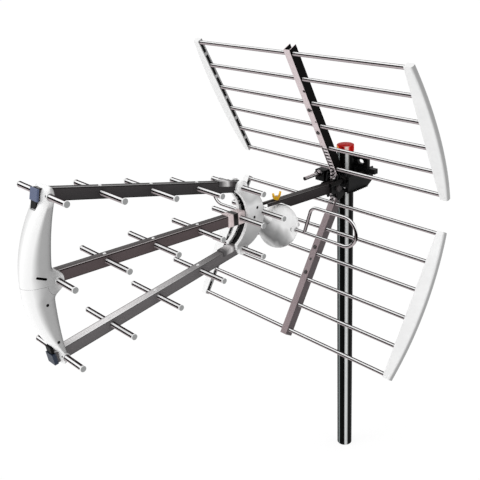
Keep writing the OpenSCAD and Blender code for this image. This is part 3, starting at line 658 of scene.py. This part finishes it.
# Painted shade on the front bracket: white towards the front-left, grey towards its +x side and rear, light grey
# on faces turned furthest to the front-left.
BRACKET_SHADE_FALL = (
    (0.00, "505050"),
    (0.08, "808080"),
    (0.14, "9a9a9a"),
    (0.22, "a8a8a8"),
    (0.30, "b0b0b0"),
    (0.36, "c2c2c2"),
    (0.44, "e4e4e4"),
    (0.52, "ffffff"),
    (0.88, "ffffff"),
    (0.97, "dcdcdc"),
    (1.00, "cccccc"),
)
BRACKET_WHITE = Banded(
    "bracket_painted_shade_and_highlights",
    Facing.FRONT_LEFT,
    BRACKET_SHADE_FALL,
    0.0,
    0.3,
    0.02,
    0.25,
    "",
    # Painted highlights on the boss round the middle director and on the top head.
    (((0.018, -0.694, 0.721), 0.010, 0.022, "d6d6d6"), ((0.02, -0.703, 0.857), 0.006, 0.016, "f4f4f4")),
)
# Painted shade on the white end pieces: grey where they face +x.
END_WHITE = Banded(
    "end_piece_painted_shade",
    Facing.SIDE,
    ((0.0, "f4f4f4"), (0.5, "f2f2f2"), (0.72, "e4e4e4"), (0.88, "b4b4b4"), (1.0, "a2a2a2")),
    0.0,
    0.35,
    0.03,
    0.25,
)
# Painted reflections and shade on the dipole housing: bright towards the upper right, grey below and to the left.
HOUSING_WHITE = PaintedSheen(
    "housing_painted_reflections",
    Facing.HOUSING_LIGHT,
    ((0.0, "a8a8a8"), (0.08, "c4c4c4"), (0.20, "747474"), (0.34, "a0a0a0"), (0.44, "d4d4d4"), (0.53, "ffffff"),
     (1.0, "ffffff")),
)
# Painted reflections by height on the rear bracket's broad sides, painted shade on its other faces.
REAR_WHITE = HeightPaintedLight(
    "rear_bracket_painted_light",
    ((0.630, "f4f4f4"), (0.645, "9a9a9a"), (0.668, "aaaaaa"), (0.690, "c2c2c2"), (0.706, "dadada"),
     (0.722, "eeeeee"), (0.738, "c8c8c8"), (0.752, "d8d8d8"), (0.765, "ffffff")),
    WHITE_SHADE_FALL,
)
RIVET = Plain("rivet_bright", "f4f4f4", "dcdcdc", 0.2, 0.3, 300.0)
CAP_GREY = Banded(
    "end_cap_grey",
    Facing.SIDE,
    ((0.0, "9a9b9b"), (0.12, "a6a7a7"), (0.2, "f0f0f0"), (0.8, "f0f0f0"), (0.88, "a6a7a7"), (1.0, "9a9b9b")),
)
SOCKET_PALE = Laid(
    "socket_pale",
    1,
    ((-0.347, "e8d8d8"), (-0.334, "dccccc"), (-0.332, "100e0e"), (-0.322, "120f0f"), (-0.320, "e4d6d6"),
     (-0.300, "d8caca")),
)
YELLOW = Plain("wing_yellow", "ffd21a", "d89c08", 0.0, 0.3, 160.0)
BLUE = Laid("plug_blue", 2, ((0.60, "2b3444"), (0.66, "2f384a"), (0.80, "56607c"), (0.88, "5c6682")))
BOARD = Plain("board_green", "1f5a34", "17452a", 0.0, 0.5, 200.0)
# The booms' stops paint highlight and shade lines on their tops and sides, and their tops fade into painted shade
# towards the rear.
MAIN_BOOM = BoomFinishAndPaintedLight(
    "boom_main",
    2,
    ((-10, "383434"), (-6, "4a4646"), (6, "3c3838"), (7.4, "908c8c"), (10, "908c8c")),
    ((-12, "141212"), (-9, "181616"), (-7.5, "2c2829"), (8, "353132"), (9.4, "0c0a0a"), (12, "0c0a0a")),
    "8a8686",
    -0.25,
    -0.02,
)
TOP_BOOM = BoomFinishAndPaintedLight(
    "boom_top",
    1,
    ((-10, "0c0a0a"), (-0.5, "121010"), (0.8, "8a8888"), (5.2, "9a9898"), (6.2, "0c0a0a"), (10, "0c0a0a")),
    ((-12, "141212"), (-9.2, "1c1a1a"), (-8, "383637"), (8.4, "3f3c3d"), (9.2, "0a0808"), (12, "0a0808")),
    "a8a6a6",
)
MIDDLE_BOOM = BoomFinishAndPaintedLight(
    "boom_middle",
    0,
    ((-10, "2c2626"), (-6.8, "302a2a"), (-5, "6a6666"), (0, "5a5656"), (5.4, "504a4a"), (6.4, "c8c2c2"),
     (7.4, "d8d2d2"), (10, "c0baba")),
    ((-12, "3a3434"), (-9, "423b3b"), (-7.6, "574d4e"), (7.4, "5a5051"), (8.6, "1c1314"), (12, "1c1314")),
    "d0cccc",
)
BOTTOM_BOOM = BoomFinishAndPaintedLight(
    "boom_bottom",
    -1,
    ((-10, "8c8888"), (-6.8, "a09c9c"), (-5.6, "f4f2f2"), (5, "f0eeee"), (6.4, "ffffff"), (10, "ffffff")),
    ((-12, "3c3a3b"), (-9.2, "464445"), (-8, "666364"), (8.4, "6a6768"), (9.3, "4a4848"), (12, "4a4848")),
    "6c6a6a",
    -0.61,
    -0.36,
)
# Painted shade on the channels: dark where they face +x, pale where they face the front, with painted dark spots
# for holes.
UPPER_CHANNEL = Banded(
    "channel_upper",
    Facing.SIDE,
    ((0.0, "1a1617"), (0.3, "c8babc"), (0.45, "dccfd1"), (0.6, "d4c6c8"), (0.8, "0c0a0b"), (1.0, "030202")),
    0.0,
    0.4,
    0.05,
    0.04,
    "",
    hole_shade_spots(((5.0, -143.0, 213.0), (5.0, -122.0, 172.0), (5.0, -108.0, 147.0)), "2a2022"),
)
LOWER_CHANNEL = Banded(
    "channel_lower",
    Facing.SIDE,
    ((0.0, "3a3435"), (0.3, "7a6b6d"), (0.5, "857578"), (0.65, "746669"), (0.85, "54484b"), (1.0, "4e4447")),
    spots=hole_shade_spots(((0.0, -106.0, -147.0), (0.0, -119.0, -172.0)), "1e1819"),
)


Finish = Plain | Banded | BoomFinishAndPaintedLight | Laid | Slotted | HeightPaintedLight | PaintedSheen


class Dresser:
    """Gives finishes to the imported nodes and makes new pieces."""

    def __init__(self) -> None:
        """Starts with no material made."""
        self.made: dict[str, bpy.types.Material] = {}

    def material(self, finish: Finish) -> bpy.types.Material:
        """Gives the material of a finish, made once."""
        if finish.name not in self.made:
            self.made[finish.name] = finish.material()
        return self.made[finish.name]

    def dress(self, finish: Finish, *nodes: str) -> None:
        """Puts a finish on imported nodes.

        Args:
            finish: the finish.
            nodes: names of the nodes.
        """
        for name in nodes:
            for obj in find(name):
                obj.data.materials.clear()
                obj.data.materials.append(self.material(finish))
            LOG.info("dressed %s with %s", name, finish.name)


def find(name: str) -> list[bpy.types.Object]:
    """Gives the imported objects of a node."""
    return [o for o in bpy.data.objects if o.name == name or o.get("node") == name]


def mesh_piece(
    name: str,
    points: list[Vector],
    faces: list[tuple[int, ...]],
    material: bpy.types.Material,
    smooth: bool = True,
) -> bpy.types.Object:
    """Makes an object from points and faces.

    Args:
        name: the piece's name.
        points: corner points in metres.
        faces: corner numbers of each face.
        material: its finish.
        smooth: whether its faces are shaded as one surface.

    Returns:
        The new object, in the scene.
    """
    mesh = bpy.data.meshes.new(name)
    mesh.from_pydata([tuple(p) for p in points], [], faces)
    mesh.validate()
    shell = bmesh.new()
    shell.from_mesh(mesh)
    bmesh.ops.recalc_face_normals(shell, faces=shell.faces)
    shell.to_mesh(mesh)
    shell.free()
    for polygon in mesh.polygons:
        polygon.use_smooth = smooth
    mesh.materials.append(material)
    obj = bpy.data.objects.new(name, mesh)
    bpy.context.scene.collection.objects.link(obj)
    return obj


def prism(name: str, outline: list[Flat], x0: float, x1: float, material: bpy.types.Material) -> bpy.types.Object:
    """Makes a straight solid across the aerial from its side outline.

    Args:
        name: the solid's name.
        outline: y and z of its corners in the aerial's millimetres.
        x0: one end across the aerial.
        x1: the other end.
        material: its finish.

    Returns:
        The new object.
    """
    n = len(outline)
    points = [aerial(x, y, z) for x in (x0, x1) for y, z in outline]
    faces: list[tuple[int, ...]] = [(i, (i + 1) % n, n + (i + 1) % n, n + i) for i in range(n)]
    faces += [tuple(range(n)), tuple(range(2 * n - 1, n - 1, -1))]
    return mesh_piece(name, points, faces, material, False)


def round_outline(y: float, z: float, r: float, n: int = 48) -> list[Flat]:
    """Gives a circle's points in the aerial's side view."""
    turn = 2 * math.pi / n
    return [(y + r * math.cos(i * turn), z + r * math.sin(i * turn)) for i in range(n)]


def boom_outline(level: int, corners: list[Flat]) -> list[Flat]:
    """Takes a side outline from a boom's own frame to the aerial's.

    Args:
        level: 1, 0 or -1 for the top, middle or bottom boom.
        corners: places along the boom from the front director, and above its axis.

    Returns:
        The outline in the aerial's frame.
    """
    c, s = math.cos(level * SLOPE), math.sin(level * SLOPE)
    return [(-FRONT_OUT + y * c + z * s, level * FRONT_SPREAD - y * s + z * c) for y, z in corners]


def rectangle(y0: float, z0: float, y1: float, z1: float) -> list[Flat]:
    """Gives a box's four corners in a side view."""
    return [(y0, z0), (y1, z0), (y1, z1), (y0, z1)]


def carve(
    piece: bpy.types.Object, tools: list[bpy.types.Object], how: str = "DIFFERENCE", crease: float = 35.0
) -> bpy.types.Object:
    """Cuts, joins or crosses solids with a piece for good and removes them.

    Args:
        piece: the piece that is shaped.
        tools: the solids, which are used up.
        how: kind of the operation.
        crease: angle in degrees above which an edge stays sharp.

    Returns:
        The same piece with its new mesh.
    """
    for tool in tools:
        step = piece.modifiers.new("shape", "BOOLEAN")
        step.operation = how
        step.solver = "EXACT"
        step.material_mode = "TRANSFER"
        step.object = tool
    graph = bpy.context.evaluated_depsgraph_get()
    mesh = bpy.data.meshes.new_from_object(piece.evaluated_get(graph))
    piece.modifiers.clear()
    piece.data = mesh
    for tool in tools:
        bpy.data.objects.remove(tool)
    mesh.shade_smooth()
    mesh.set_sharp_from_angle(angle=math.radians(crease))
    return piece


@dataclass
class Mast:
    """Mast tube and its cap.

    Args:
        dresser: gives the finishes.
        radius: radius of the tube.
        skin: how far the thin cap stands out from the tube.
        foot: height of the cap's lower edge.
        crown: thickness of the cap's top.
        around: points round the cap.
    """

    dresser: Dresser
    radius: float = 17.5
    skin: float = 0.7
    foot: float = 756.0
    crown: float = 0.9
    around: int = 96

    def cap(self) -> None:
        """Turns the thin red cap that closes the tube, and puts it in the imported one's place."""
        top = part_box("mast_tube")[1][2] / MM + 0.1
        out, bore = self.radius + self.skin, self.radius + 0.05
        profile = (
            (bore, self.foot), (out, self.foot), (out, top + self.crown - 0.6),
            (out - 0.6, top + self.crown), (0.0, top + self.crown), (0.0, top), (bore, top),
        )
        n, points, rings = self.around, [], []
        for r, z in profile:
            count = n if r else 1
            rings.append([len(points) + (i if r else 0) for i in range(n)])
            for i in range(count):
                a = 2 * math.pi * i / n
                points.append(Vector((r * math.cos(a), r * math.sin(a), z)) * MM)
        faces: list[tuple[int, ...]] = []
        for low, high in zip(rings, rings[1:] + rings[:1]):
            for i in range(n):
                j = (i + 1) % n
                corners = tuple(dict.fromkeys((low[i], low[j], high[j], high[i])))
                if len(corners) > 2:
                    faces.append(corners)
        piece = mesh_piece("cap_shell", points, faces, self.dresser.material(CAP_RED))
        piece.data.set_sharp_from_angle(angle=math.radians(50.0))
        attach(piece, "mast")
        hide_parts("mast_cap")
        LOG.info("made %s with %d faces", piece.name, len(piece.data.polygons))

    def dress(self) -> None:
        """Paints the tube gloss black with painted highlight streaks and puts on the red cap."""
        self.dresser.dress(MAST_BLACK_AND_HIGHLIGHTS, "mast_tube")
        self.cap()


@dataclass
class Clamp:
    """Mast clamp: castings, jaw and their fasteners."""

    dresser: Dresser
    castings: tuple[str, ...] = ("clamp_side_left", "clamp_side_right", "clamp_rear_jaw")
    bright: tuple[str, ...] = ("lock_bolt", "hinge_pins")

    def dress(self) -> None:
        """Gives castings, fasteners and spacers their finishes."""
        self.dresser.dress(CAST_DARK, *self.castings)
        self.dresser.dress(ZINC, *self.bright)
        self.dresser.dress(BOLT_ZINC_SHADED, "clamp_bolts", "clamp_nuts")
        self.dresser.dress(DARK_ZINC, "tilt_bolt", "tilt_nut")
        self.dresser.dress(BLACK_PLASTIC, "tilt_spacers")


@dataclass
class MainBoom:
    """Boom between the mast clamp and the dipole housing."""

    dresser: Dresser

    def dress(self) -> None:
        """Gives the boom, the carriers and the housing's bolt their finishes."""
        self.dresser.dress(MAIN_BOOM, "main_boom")
        self.dresser.dress(CAST_DARK, "carrier_left", "carrier_right")
        self.dresser.dress(ZINC, "housing_bolt")
        self.dresser.dress(YELLOW, "boom_wing_nut")


@dataclass
class Dipole:
    """Folded dipole with its round housing.

    Args:
        dresser: gives the finishes.
        out: distance of the dipole's plane in front of the mast.
        middle: height of the housing's middle.
        radius: radius of the housing.
        rise: half height of the housing.
        wall: thickness of its wall.
        joint: place where the rear cover meets it.
    """

    dresser: Dresser
    out: float = 205.0
    middle: float = -46.5
    radius: float = 40.5
    rise: float = 44.7
    wall: float = 2.4
    joint: float = -178.0

    def egg(self, name: str, inset: float, material: bpy.types.Material) -> bpy.types.Object:
        """Turns the housing's round form, drawn inward by a wall."""
        around, rows = 96, 64
        r, rise = self.radius - inset, self.rise - inset
        points = [aerial(0, -self.out, self.middle + rise), aerial(0, -self.out, self.middle - rise)]
        for k in range(1, rows):
            a = math.pi * k / rows
            for i in range(around):
                b = 2 * math.pi * i / around
                x, y = r * math.sin(a) * math.cos(b), r * math.sin(a) * math.sin(b)
                points.append(aerial(x, -self.out + y, self.middle + rise * math.cos(a)))
        faces: list[tuple[int, ...]] = []
        for i in range(around):
            j = (i + 1) % around
            faces.append((0, 2 + i, 2 + j))
            faces.append((1, 2 + (rows - 2) * around + j, 2 + (rows - 2) * around + i))
            for k in range(rows - 2):
                faces.append(
                    (2 + k * around + i, 2 + (k + 1) * around + i, 2 + (k + 1) * around + j, 2 + k * around + j)
                )
        return mesh_piece(name, points, faces, material)

    def neck(self, material: bpy.types.Material) -> bpy.types.Object:
        """Makes the flared neck that reaches to the rear bracket."""
        n, rows, reach = 64, 14, 66.0
        lean = math.radians(38.0)
        points, faces = [], []
        for k in range(rows + 1):
            t = k / rows
            r = 12.0 + 3.0 * (1 - t) + 7.0 * max(0.0, 0.75 - t) ** 2
            for i in range(n):
                a = 2 * math.pi * i / n
                u, v, w = r * math.cos(a), r * math.sin(a), reach * t
                y = -v * math.sin(lean) * -1 - w * math.cos(lean)
                z = v * math.cos(lean) + w * math.sin(lean)
                points.append(aerial(u, -self.out + y, self.middle + z))
        for k in range(rows):
            for i in range(n):
                j = (i + 1) % n
                faces.append((k * n + i, k * n + j, (k + 1) * n + j, (k + 1) * n + i))
        faces += [tuple(range(n)), tuple(rows * n + i for i in range(n))]
        piece = mesh_piece("neck_tool", points, faces, material)
        return carve(piece, [prism("neck_end", round_outline(-317.0, -2.0, 60.3, 160), -30, 30, material)])

    def build(self) -> None:
        """Makes the smooth housing and its rear cover."""
        white, dark = self.dresser.material(HOUSING_WHITE), self.dresser.material(HOLE_SHADE)
        shell = self.egg("dipole_shell", 0.0, white)
        joins = [self.neck(white)]
        for side in (-1, 1):
            ends = sorted((side * 30, side * 42))
            joins.append(prism("seat", round_outline(-self.out, -42.0, 6.6, 64), *ends, white))
        joins.append(prism("tongue", round_outline(-261.5, 0.4, 9.0, 64), -7.8, 7.8, white))
        carve(shell, joins, "UNION")
        cut = [(self.joint - 0.0, -120.0), (-100.0, -120.0), (-100.0, 20.0), (self.joint - 0.0, 20.0)]
        # The inside of the housing and of its cover, the cover's cut face and the rod's hole take the painted
        # shade material.
        holes = [
            self.egg("inside", self.wall, dark),
            prism("cut_cover", cut, -60, 60, dark),
            prism("cut_rod", round_outline(-261.5, 0.4, 4.85), -20, 20, dark),
        ]
        carve(shell, holes)
        cover = self.egg("dipole_back", 0.0, white)
        keep = [(self.joint + 0.3, -120.0), (-100.0, -120.0), (-100.0, 20.0), (self.joint + 0.3, 20.0)]
        carve(cover, [prism("keep_cover", keep, -60, 60, white)], "INTERSECT")
        carve(cover, [self.egg("inside", self.wall, dark)])
        for piece, node in ((shell, "dipole_housing"), (cover, "dipole_cover")):
            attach(piece, "aerial")
            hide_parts(node)
            LOG.info("made %s with %d faces", piece.name, len(piece.data.polygons))

    def dress(self) -> None:
        """Gives the housing, its inside and the loops their finishes."""
        self.build()
        self.dresser.dress(WHITE, "dipole_collars")
        self.dresser.dress(ROD_PAINTED_REFLECTIONS, "dipole_left", "dipole_right")
        self.dresser.dress(BOARD, "balun_board")
        self.dresser.dress(ZINC, "coax_socket")


@dataclass
class RearBracket:
    """Two moulded halves that hold the rear ends of the booms."""

    dresser: Dresser

    def dress(self) -> None:
        """Gives the halves, the core and the sockets their finishes."""
        self.dresser.dress(REAR_WHITE, "rear_bracket_left", "rear_bracket_right")
        # The black core is a part of its own that also stands for the shade deep inside the hollow halves.
        self.dresser.dress(BLACK_PLASTIC, "rear_bracket_core")
        self.dresser.dress(BLACK_PLASTIC, "rear_bracket_screws")
        self.dresser.dress(SOCKET_PALE, "boom_sockets")
        self.dresser.dress(SADDLE_PAINTED_SHEEN, "boom_saddles")


@dataclass
class Directors:
    """Three director booms with their directors, caps and rivets."""

    dresser: Dresser
    booms: dict[str, BoomFinishAndPaintedLight] = field(
        default_factory=lambda: {"top": TOP_BOOM, "middle": MIDDLE_BOOM, "bottom": BOTTOM_BOOM}
    )

    def dress(self) -> None:
        """Gives each boom its painted highlight and shade lines and the directors their painted reflection
        streaks.
        """
        for place, painted_lines in self.booms.items():
            self.dresser.dress(painted_lines, f"director_boom_{place}")
            self.dresser.dress(ROD_PAINTED_REFLECTIONS, f"directors_{place}")
        self.dresser.dress(ROD_PAINTED_REFLECTIONS, "director_dipole")
        self.dresser.dress(CAP_GREY, "director_caps")
        self.dresser.dress(RIVET, "director_rivets")


@dataclass
class FrontBracket:
    """Curved moulding that holds the front ends of the booms.

    Args:
        dresser: gives the finishes.
        half: half width at the middle.
        top_end: height of the top above the middle director.
        low_end: depth of the lower end below it.
        nose: distance of the front edge from the mast.
        waist: distance of the rear edge from the mast.
        boss: height of the boss round the middle director.
        around: points round the section.
        rings: sections from end to end.
    """

    dresser: Dresser
    half: float = 21.0
    top_end: float = 148.0
    low_end: float = 152.0
    nose: float = 761.0
    waist: float = 712.1
    boss: float = -4.2
    around: int = 88
    rings: int = 130

    def swell(self, z: float, half: float) -> float:
        """Gives 1 at the boss, falling to 0 away from it."""
        return math.exp(-0.69 * (abs(z - self.boss) / half) ** 3.4)

    def end_round(self, z: float) -> float:
        """Gives how far the section is drawn in near the two ends."""
        edge, end = (126.0, self.top_end) if z > 0 else (128.0, self.low_end)
        past = max(0.0, (abs(z) - edge) / (end - edge))
        return max(0.02, math.sqrt(max(0.0, 1 - past * past)))

    def section(self, z: float) -> list[Vector]:
        """Gives the points of one section at a height.

        Args:
            z: height above the middle director in millimetres.

        Returns:
            Points in the shared frame.
        """
        e = self.end_round(z)
        bow = 210.0 if z > 0 else 200.0
        front = -self.nose + bow - math.sqrt(bow**2 - min(abs(z), 128.0) ** 2)
        sag = 540.0 if z > 0 else 957.0
        back = -self.waist + sag - math.sqrt(sag**2 - z**2) + 20 * self.swell(z, 15.3)
        centre, depth = (front + back) / 2, max(0.5, (back - front) / 2 * e)
        width = self.half + 1.3 * z / FRONT_SPREAD + 1.2 * self.swell(z, 13.0)
        width = max(0.5, width * e ** (0.17 if z > 0 else 0.5))
        out = []
        for i in range(self.around):
            turn = 2 * math.pi * i / self.around
            u, v = math.cos(turn), math.sin(turn)
            power = 1.0 if v < 0 else 0.52
            x = width * math.copysign(abs(u) ** power, u)
            y = centre + depth * math.copysign(abs(v) ** power, v)
            out.append(aerial(x, y, z))
        return out

    def body(self, name: str, material: bpy.types.Material) -> bpy.types.Object:
        """Lofts the whole moulding through its sections."""
        n, points, faces = self.around, [], []
        for k in range(self.rings + 1):
            t = 2 * k / self.rings - 1
            a = math.pi / 2 * t * (0.35 + 0.65 * t * t)
            points += self.section(math.sin(a) * (self.top_end if t > 0 else self.low_end))
        for k in range(self.rings):
            for i in range(n):
                j = (i + 1) % n
                faces.append((k * n + i, k * n + j, (k + 1) * n + j, (k + 1) * n + i))
        faces += [tuple(range(n)), tuple(self.rings * n + i for i in range(n))]
        return mesh_piece(name, points, faces, material)

    def seam(self, upper: bool) -> list[Flat]:
        """Gives the outline of the space above or below the line where the two halves meet."""
        gap = 0.15 if upper else -0.15
        level, r, mid = -4.0 + gap, 20.5 - gap, -FRONT_OUT + 2
        lift = math.asin((level - self.boss) / r)
        steps = 40
        arc = [math.pi - lift + (math.pi + 2 * lift) * i / steps for i in range(steps + 1)]
        line = [(mid + r * math.cos(a), self.boss + r * math.sin(a)) for a in arc]
        far = 220.0 if upper else -220.0
        return [(-800.0, level), *line, (-600.0, level), (-600.0, far), (-800.0, far)]

    def cutters(self, plain: bpy.types.Material, dark: bpy.types.Material) -> list[bpy.types.Object]:
        """Makes the solids of the pockets, rooms, holes and the slot; the pockets, holes and slot carry the
        painted shade onto their walls.
        """
        out = []
        for level in (-1, 0, 1):
            mouth = boom_outline(level, rectangle(-11.2, -10.05, 40, 10.05))
            out.append(prism("cut_boom", mouth, -8.05, 8.05, dark))
            out.append(prism("cut_rod", round_outline(-FRONT_OUT, level * FRONT_SPREAD, 4.85), -40, 40, dark))
            if level:
                room = boom_outline(level, rectangle(-40, -10.2, -10.9, 9.4))
                tab = boom_outline(level, rectangle(-40, -24.2 * level, -10.9, -9 * level))
                out.append(prism("cut_plug", room, -10.7, 10.7, plain))
                out.append(prism("cut_tab", tab, -7.9, 7.9, plain))
        for y, z in ((-730.0, -35.0), (-718.0, -104.0)):
            out.append(prism("cut_screw", round_outline(y, z, 2.6), 10, 40, dark))
        c, s = math.cos(math.radians(-22)), math.sin(math.radians(-22))
        ends = [(7 * side, side, i) for side in (1, -1) for i in range(13)]
        slot = []
        for middle, side, i in ends:
            a = -math.pi / 2 + math.pi * i / 12
            u, v = middle + side * 2 * math.cos(a), side * 2 * math.sin(a)
            slot.append((-735 + u * c - v * s, 11.2 + u * s + v * c))
        out.append(prism("cut_slot", slot, 12, 40, dark))
        return out

    def build(self) -> None:
        """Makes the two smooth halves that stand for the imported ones."""
        white, dark = self.dresser.material(BRACKET_WHITE), self.dresser.material(HOLE_SHADE)
        whole = carve(self.body("front_whole", white), self.cutters(white, dark))
        for name, upper in (("upper", True), ("lower", False)):
            half = whole.copy()
            half.data = whole.data.copy()
            half.name = half.data.name = f"front_moulding_{name}"
            bpy.context.scene.collection.objects.link(half)
            # The seam faces between the halves take the painted shade material.
            carve(half, [prism("seam_side", self.seam(upper), -40, 40, dark)], "INTERSECT")
            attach(half, "aerial")
            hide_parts(f"front_bracket_{name}")
            LOG.info("made %s with %d faces", half.name, len(half.data.polygons))
        bpy.data.objects.remove(whole)

    def dress(self) -> None:
        """Gives the mouldings, rings, plugs and tabs their finishes."""
        self.build()
        self.dresser.dress(WHITE, "front_grommets")
        self.dresser.dress(BLACK_PLASTIC, "front_bracket_screws", "plug_tabs")
        self.dresser.dress(BLUE, "front_plugs")


@dataclass
class Reflector:
    """One reflector panel: channel, hinge bracket, rods and end pieces."""

    dresser: Dresser
    side: str
    channel: Banded

    def dress(self) -> None:
        """Gives the panel's nodes their finishes."""
        name = self.side
        self.dresser.dress(self.channel, f"{name}_channel")
        self.dresser.dress(HINGE_PLATE, f"{name}_hinge")
        self.dresser.dress(DARK_ZINC, f"{name}_screws")
        self.dresser.dress(ROD_PAINTED_REFLECTIONS, f"{name}_rods")
        self.dresser.dress(END_WHITE, f"{name}_end_left", f"{name}_end_right")
        # The black liners are parts of their own that also stand for the shade inside the hollow end pieces.
        self.dresser.dress(BLACK_PLASTIC, f"{name}_liners")


@dataclass
class Studio:
    """Floor, lamps, background and camera."""

    lens: float = 56.3345
    place: Point = (0.98236, -1.18568, 1.22714)
    turn: tuple[float, float, float, float] = (0.7727571, 0.4932564, 0.2386862, 0.320271)
    ambient: float = 0.80
    key: float = 0.85
    fill: float = 0.2

    def camera(self) -> None:
        """Puts the camera where the picture was taken from."""
        data = bpy.data.cameras.new("picture_camera")
        data.lens = self.lens
        data.sensor_width = 36.0
        data.clip_start = 0.02
        data.clip_end = 60.0
        obj = bpy.data.objects.new("picture_camera", data)
        obj.rotation_mode = "QUATERNION"
        obj.location = self.place
        obj.rotation_quaternion = self.turn
        bpy.context.scene.collection.objects.link(obj)
        bpy.context.scene.camera = obj

    def floor(self) -> None:
        """Lays a wide pale floor just under the mast's foot."""
        size = 20.0
        points = [Vector((sx * size, sy * size, -0.001)) for sx, sy in ((-1, -1), (1, -1), (1, 1), (-1, 1))]
        g = Graph("studio_floor")
        patch = g.span(g.noise(0.6), 0.3, 0.7, 0.99, 1.0)
        g.link(g.mix(1.0, tone("fbfbfb"), patch, "MULTIPLY"), g.shader.inputs["Base Color"])
        g.surface(0.0, 0.9, 0.0)
        path = g.node("ShaderNodeLightPath")
        glow = g.node("ShaderNodeEmission")
        glow.inputs["Strength"].default_value = 1.03
        glow.inputs["Color"].default_value = (1, 1, 1, 1)
        blend = g.node("ShaderNodeMixShader")
        blend_by = g.node("ShaderNodeMath", operation="MULTIPLY")
        blend_by.inputs[1].default_value = 0.85
        g.link(path.outputs["Is Camera Ray"], blend_by.inputs[0])
        g.link(blend_by.outputs[0], blend.inputs[0])
        g.link(g.shader.outputs[0], blend.inputs[1])
        g.link(glow.outputs[0], blend.inputs[2])
        out = g.tree.nodes["Material Output"]
        g.link(blend.outputs[0], out.inputs[0])
        mesh_piece("studio_floor", points, [(0, 1, 2, 3)], g.material, False)

    def world(self) -> None:
        """Makes the background white to the eye and the light on the object even."""
        world = bpy.data.worlds.new("studio_world")
        bpy.context.scene.world = world
        world.use_nodes = True
        tree = world.node_tree
        tree.nodes.clear()
        path = tree.nodes.new("ShaderNodeLightPath")
        seen = tree.nodes.new("ShaderNodeMath")
        seen.operation = "MAXIMUM"
        tree.links.new(path.outputs["Is Camera Ray"], seen.inputs[0])
        tree.links.new(path.outputs["Is Glossy Ray"], seen.inputs[1])
        seen_too = tree.nodes.new("ShaderNodeMath")
        seen_too.operation = "MAXIMUM"
        tree.links.new(seen.outputs[0], seen_too.inputs[0])
        tree.links.new(path.outputs["Is Transmission Ray"], seen_too.inputs[1])
        dim = tree.nodes.new("ShaderNodeBackground")
        dim.inputs[0].default_value = (1, 1, 1, 1)
        dim.inputs[1].default_value = self.ambient
        bright = tree.nodes.new("ShaderNodeBackground")
        bright.inputs[0].default_value = (1, 1, 1, 1)
        bright.inputs[1].default_value = 1.0
        blend = tree.nodes.new("ShaderNodeMixShader")
        out = tree.nodes.new("ShaderNodeOutputWorld")
        tree.links.new(seen_too.outputs[0], blend.inputs[0])
        tree.links.new(dim.outputs[0], blend.inputs[1])
        tree.links.new(bright.outputs[0], blend.inputs[2])
        tree.links.new(blend.outputs[0], out.inputs[0])

    def lamp(self, name: str, strength: float, toward: Point, spread: float) -> None:
        """Adds a soft far lamp.

        Args:
            name: the lamp's name.
            strength: its strength.
            toward: direction from the object to the lamp.
            spread: its apparent size in degrees.
        """
        data = bpy.data.lights.new(name, "SUN")
        data.energy = strength
        data.angle = math.radians(spread)
        obj = bpy.data.objects.new(name, data)
        obj.rotation_mode = "QUATERNION"
        obj.rotation_quaternion = Vector(toward).to_track_quat("Z", "Y")
        bpy.context.scene.collection.objects.link(obj)

    def build(self) -> None:
        """Sets up the whole studio."""
        self.camera()
        self.floor()
        self.world()
        self.lamp("key_lamp", self.key, (-0.45, -0.8, 0.55), 40.0)
        self.lamp("fill_lamp", self.fill, (0.5, 0.6, 0.8), 60.0)
        bpy.context.scene.view_settings.view_transform = "Standard"


def main() -> None:
    """Builds and dresses every sub-assembly."""
    logging.basicConfig(level=logging.INFO, format="%(message)s")
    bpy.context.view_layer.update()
    dresser = Dresser()
    Studio().build()
    Mast(dresser).dress()
    Clamp(dresser).dress()
    MainBoom(dresser).dress()
    Dipole(dresser).dress()
    RearBracket(dresser).dress()
    Directors(dresser).dress()
    FrontBracket(dresser).dress()
    Reflector(dresser, "upper", UPPER_CHANNEL).dress()
    Reflector(dresser, "lower", LOWER_CHANNEL).dress()


if __name__ == "__main__":
    main()
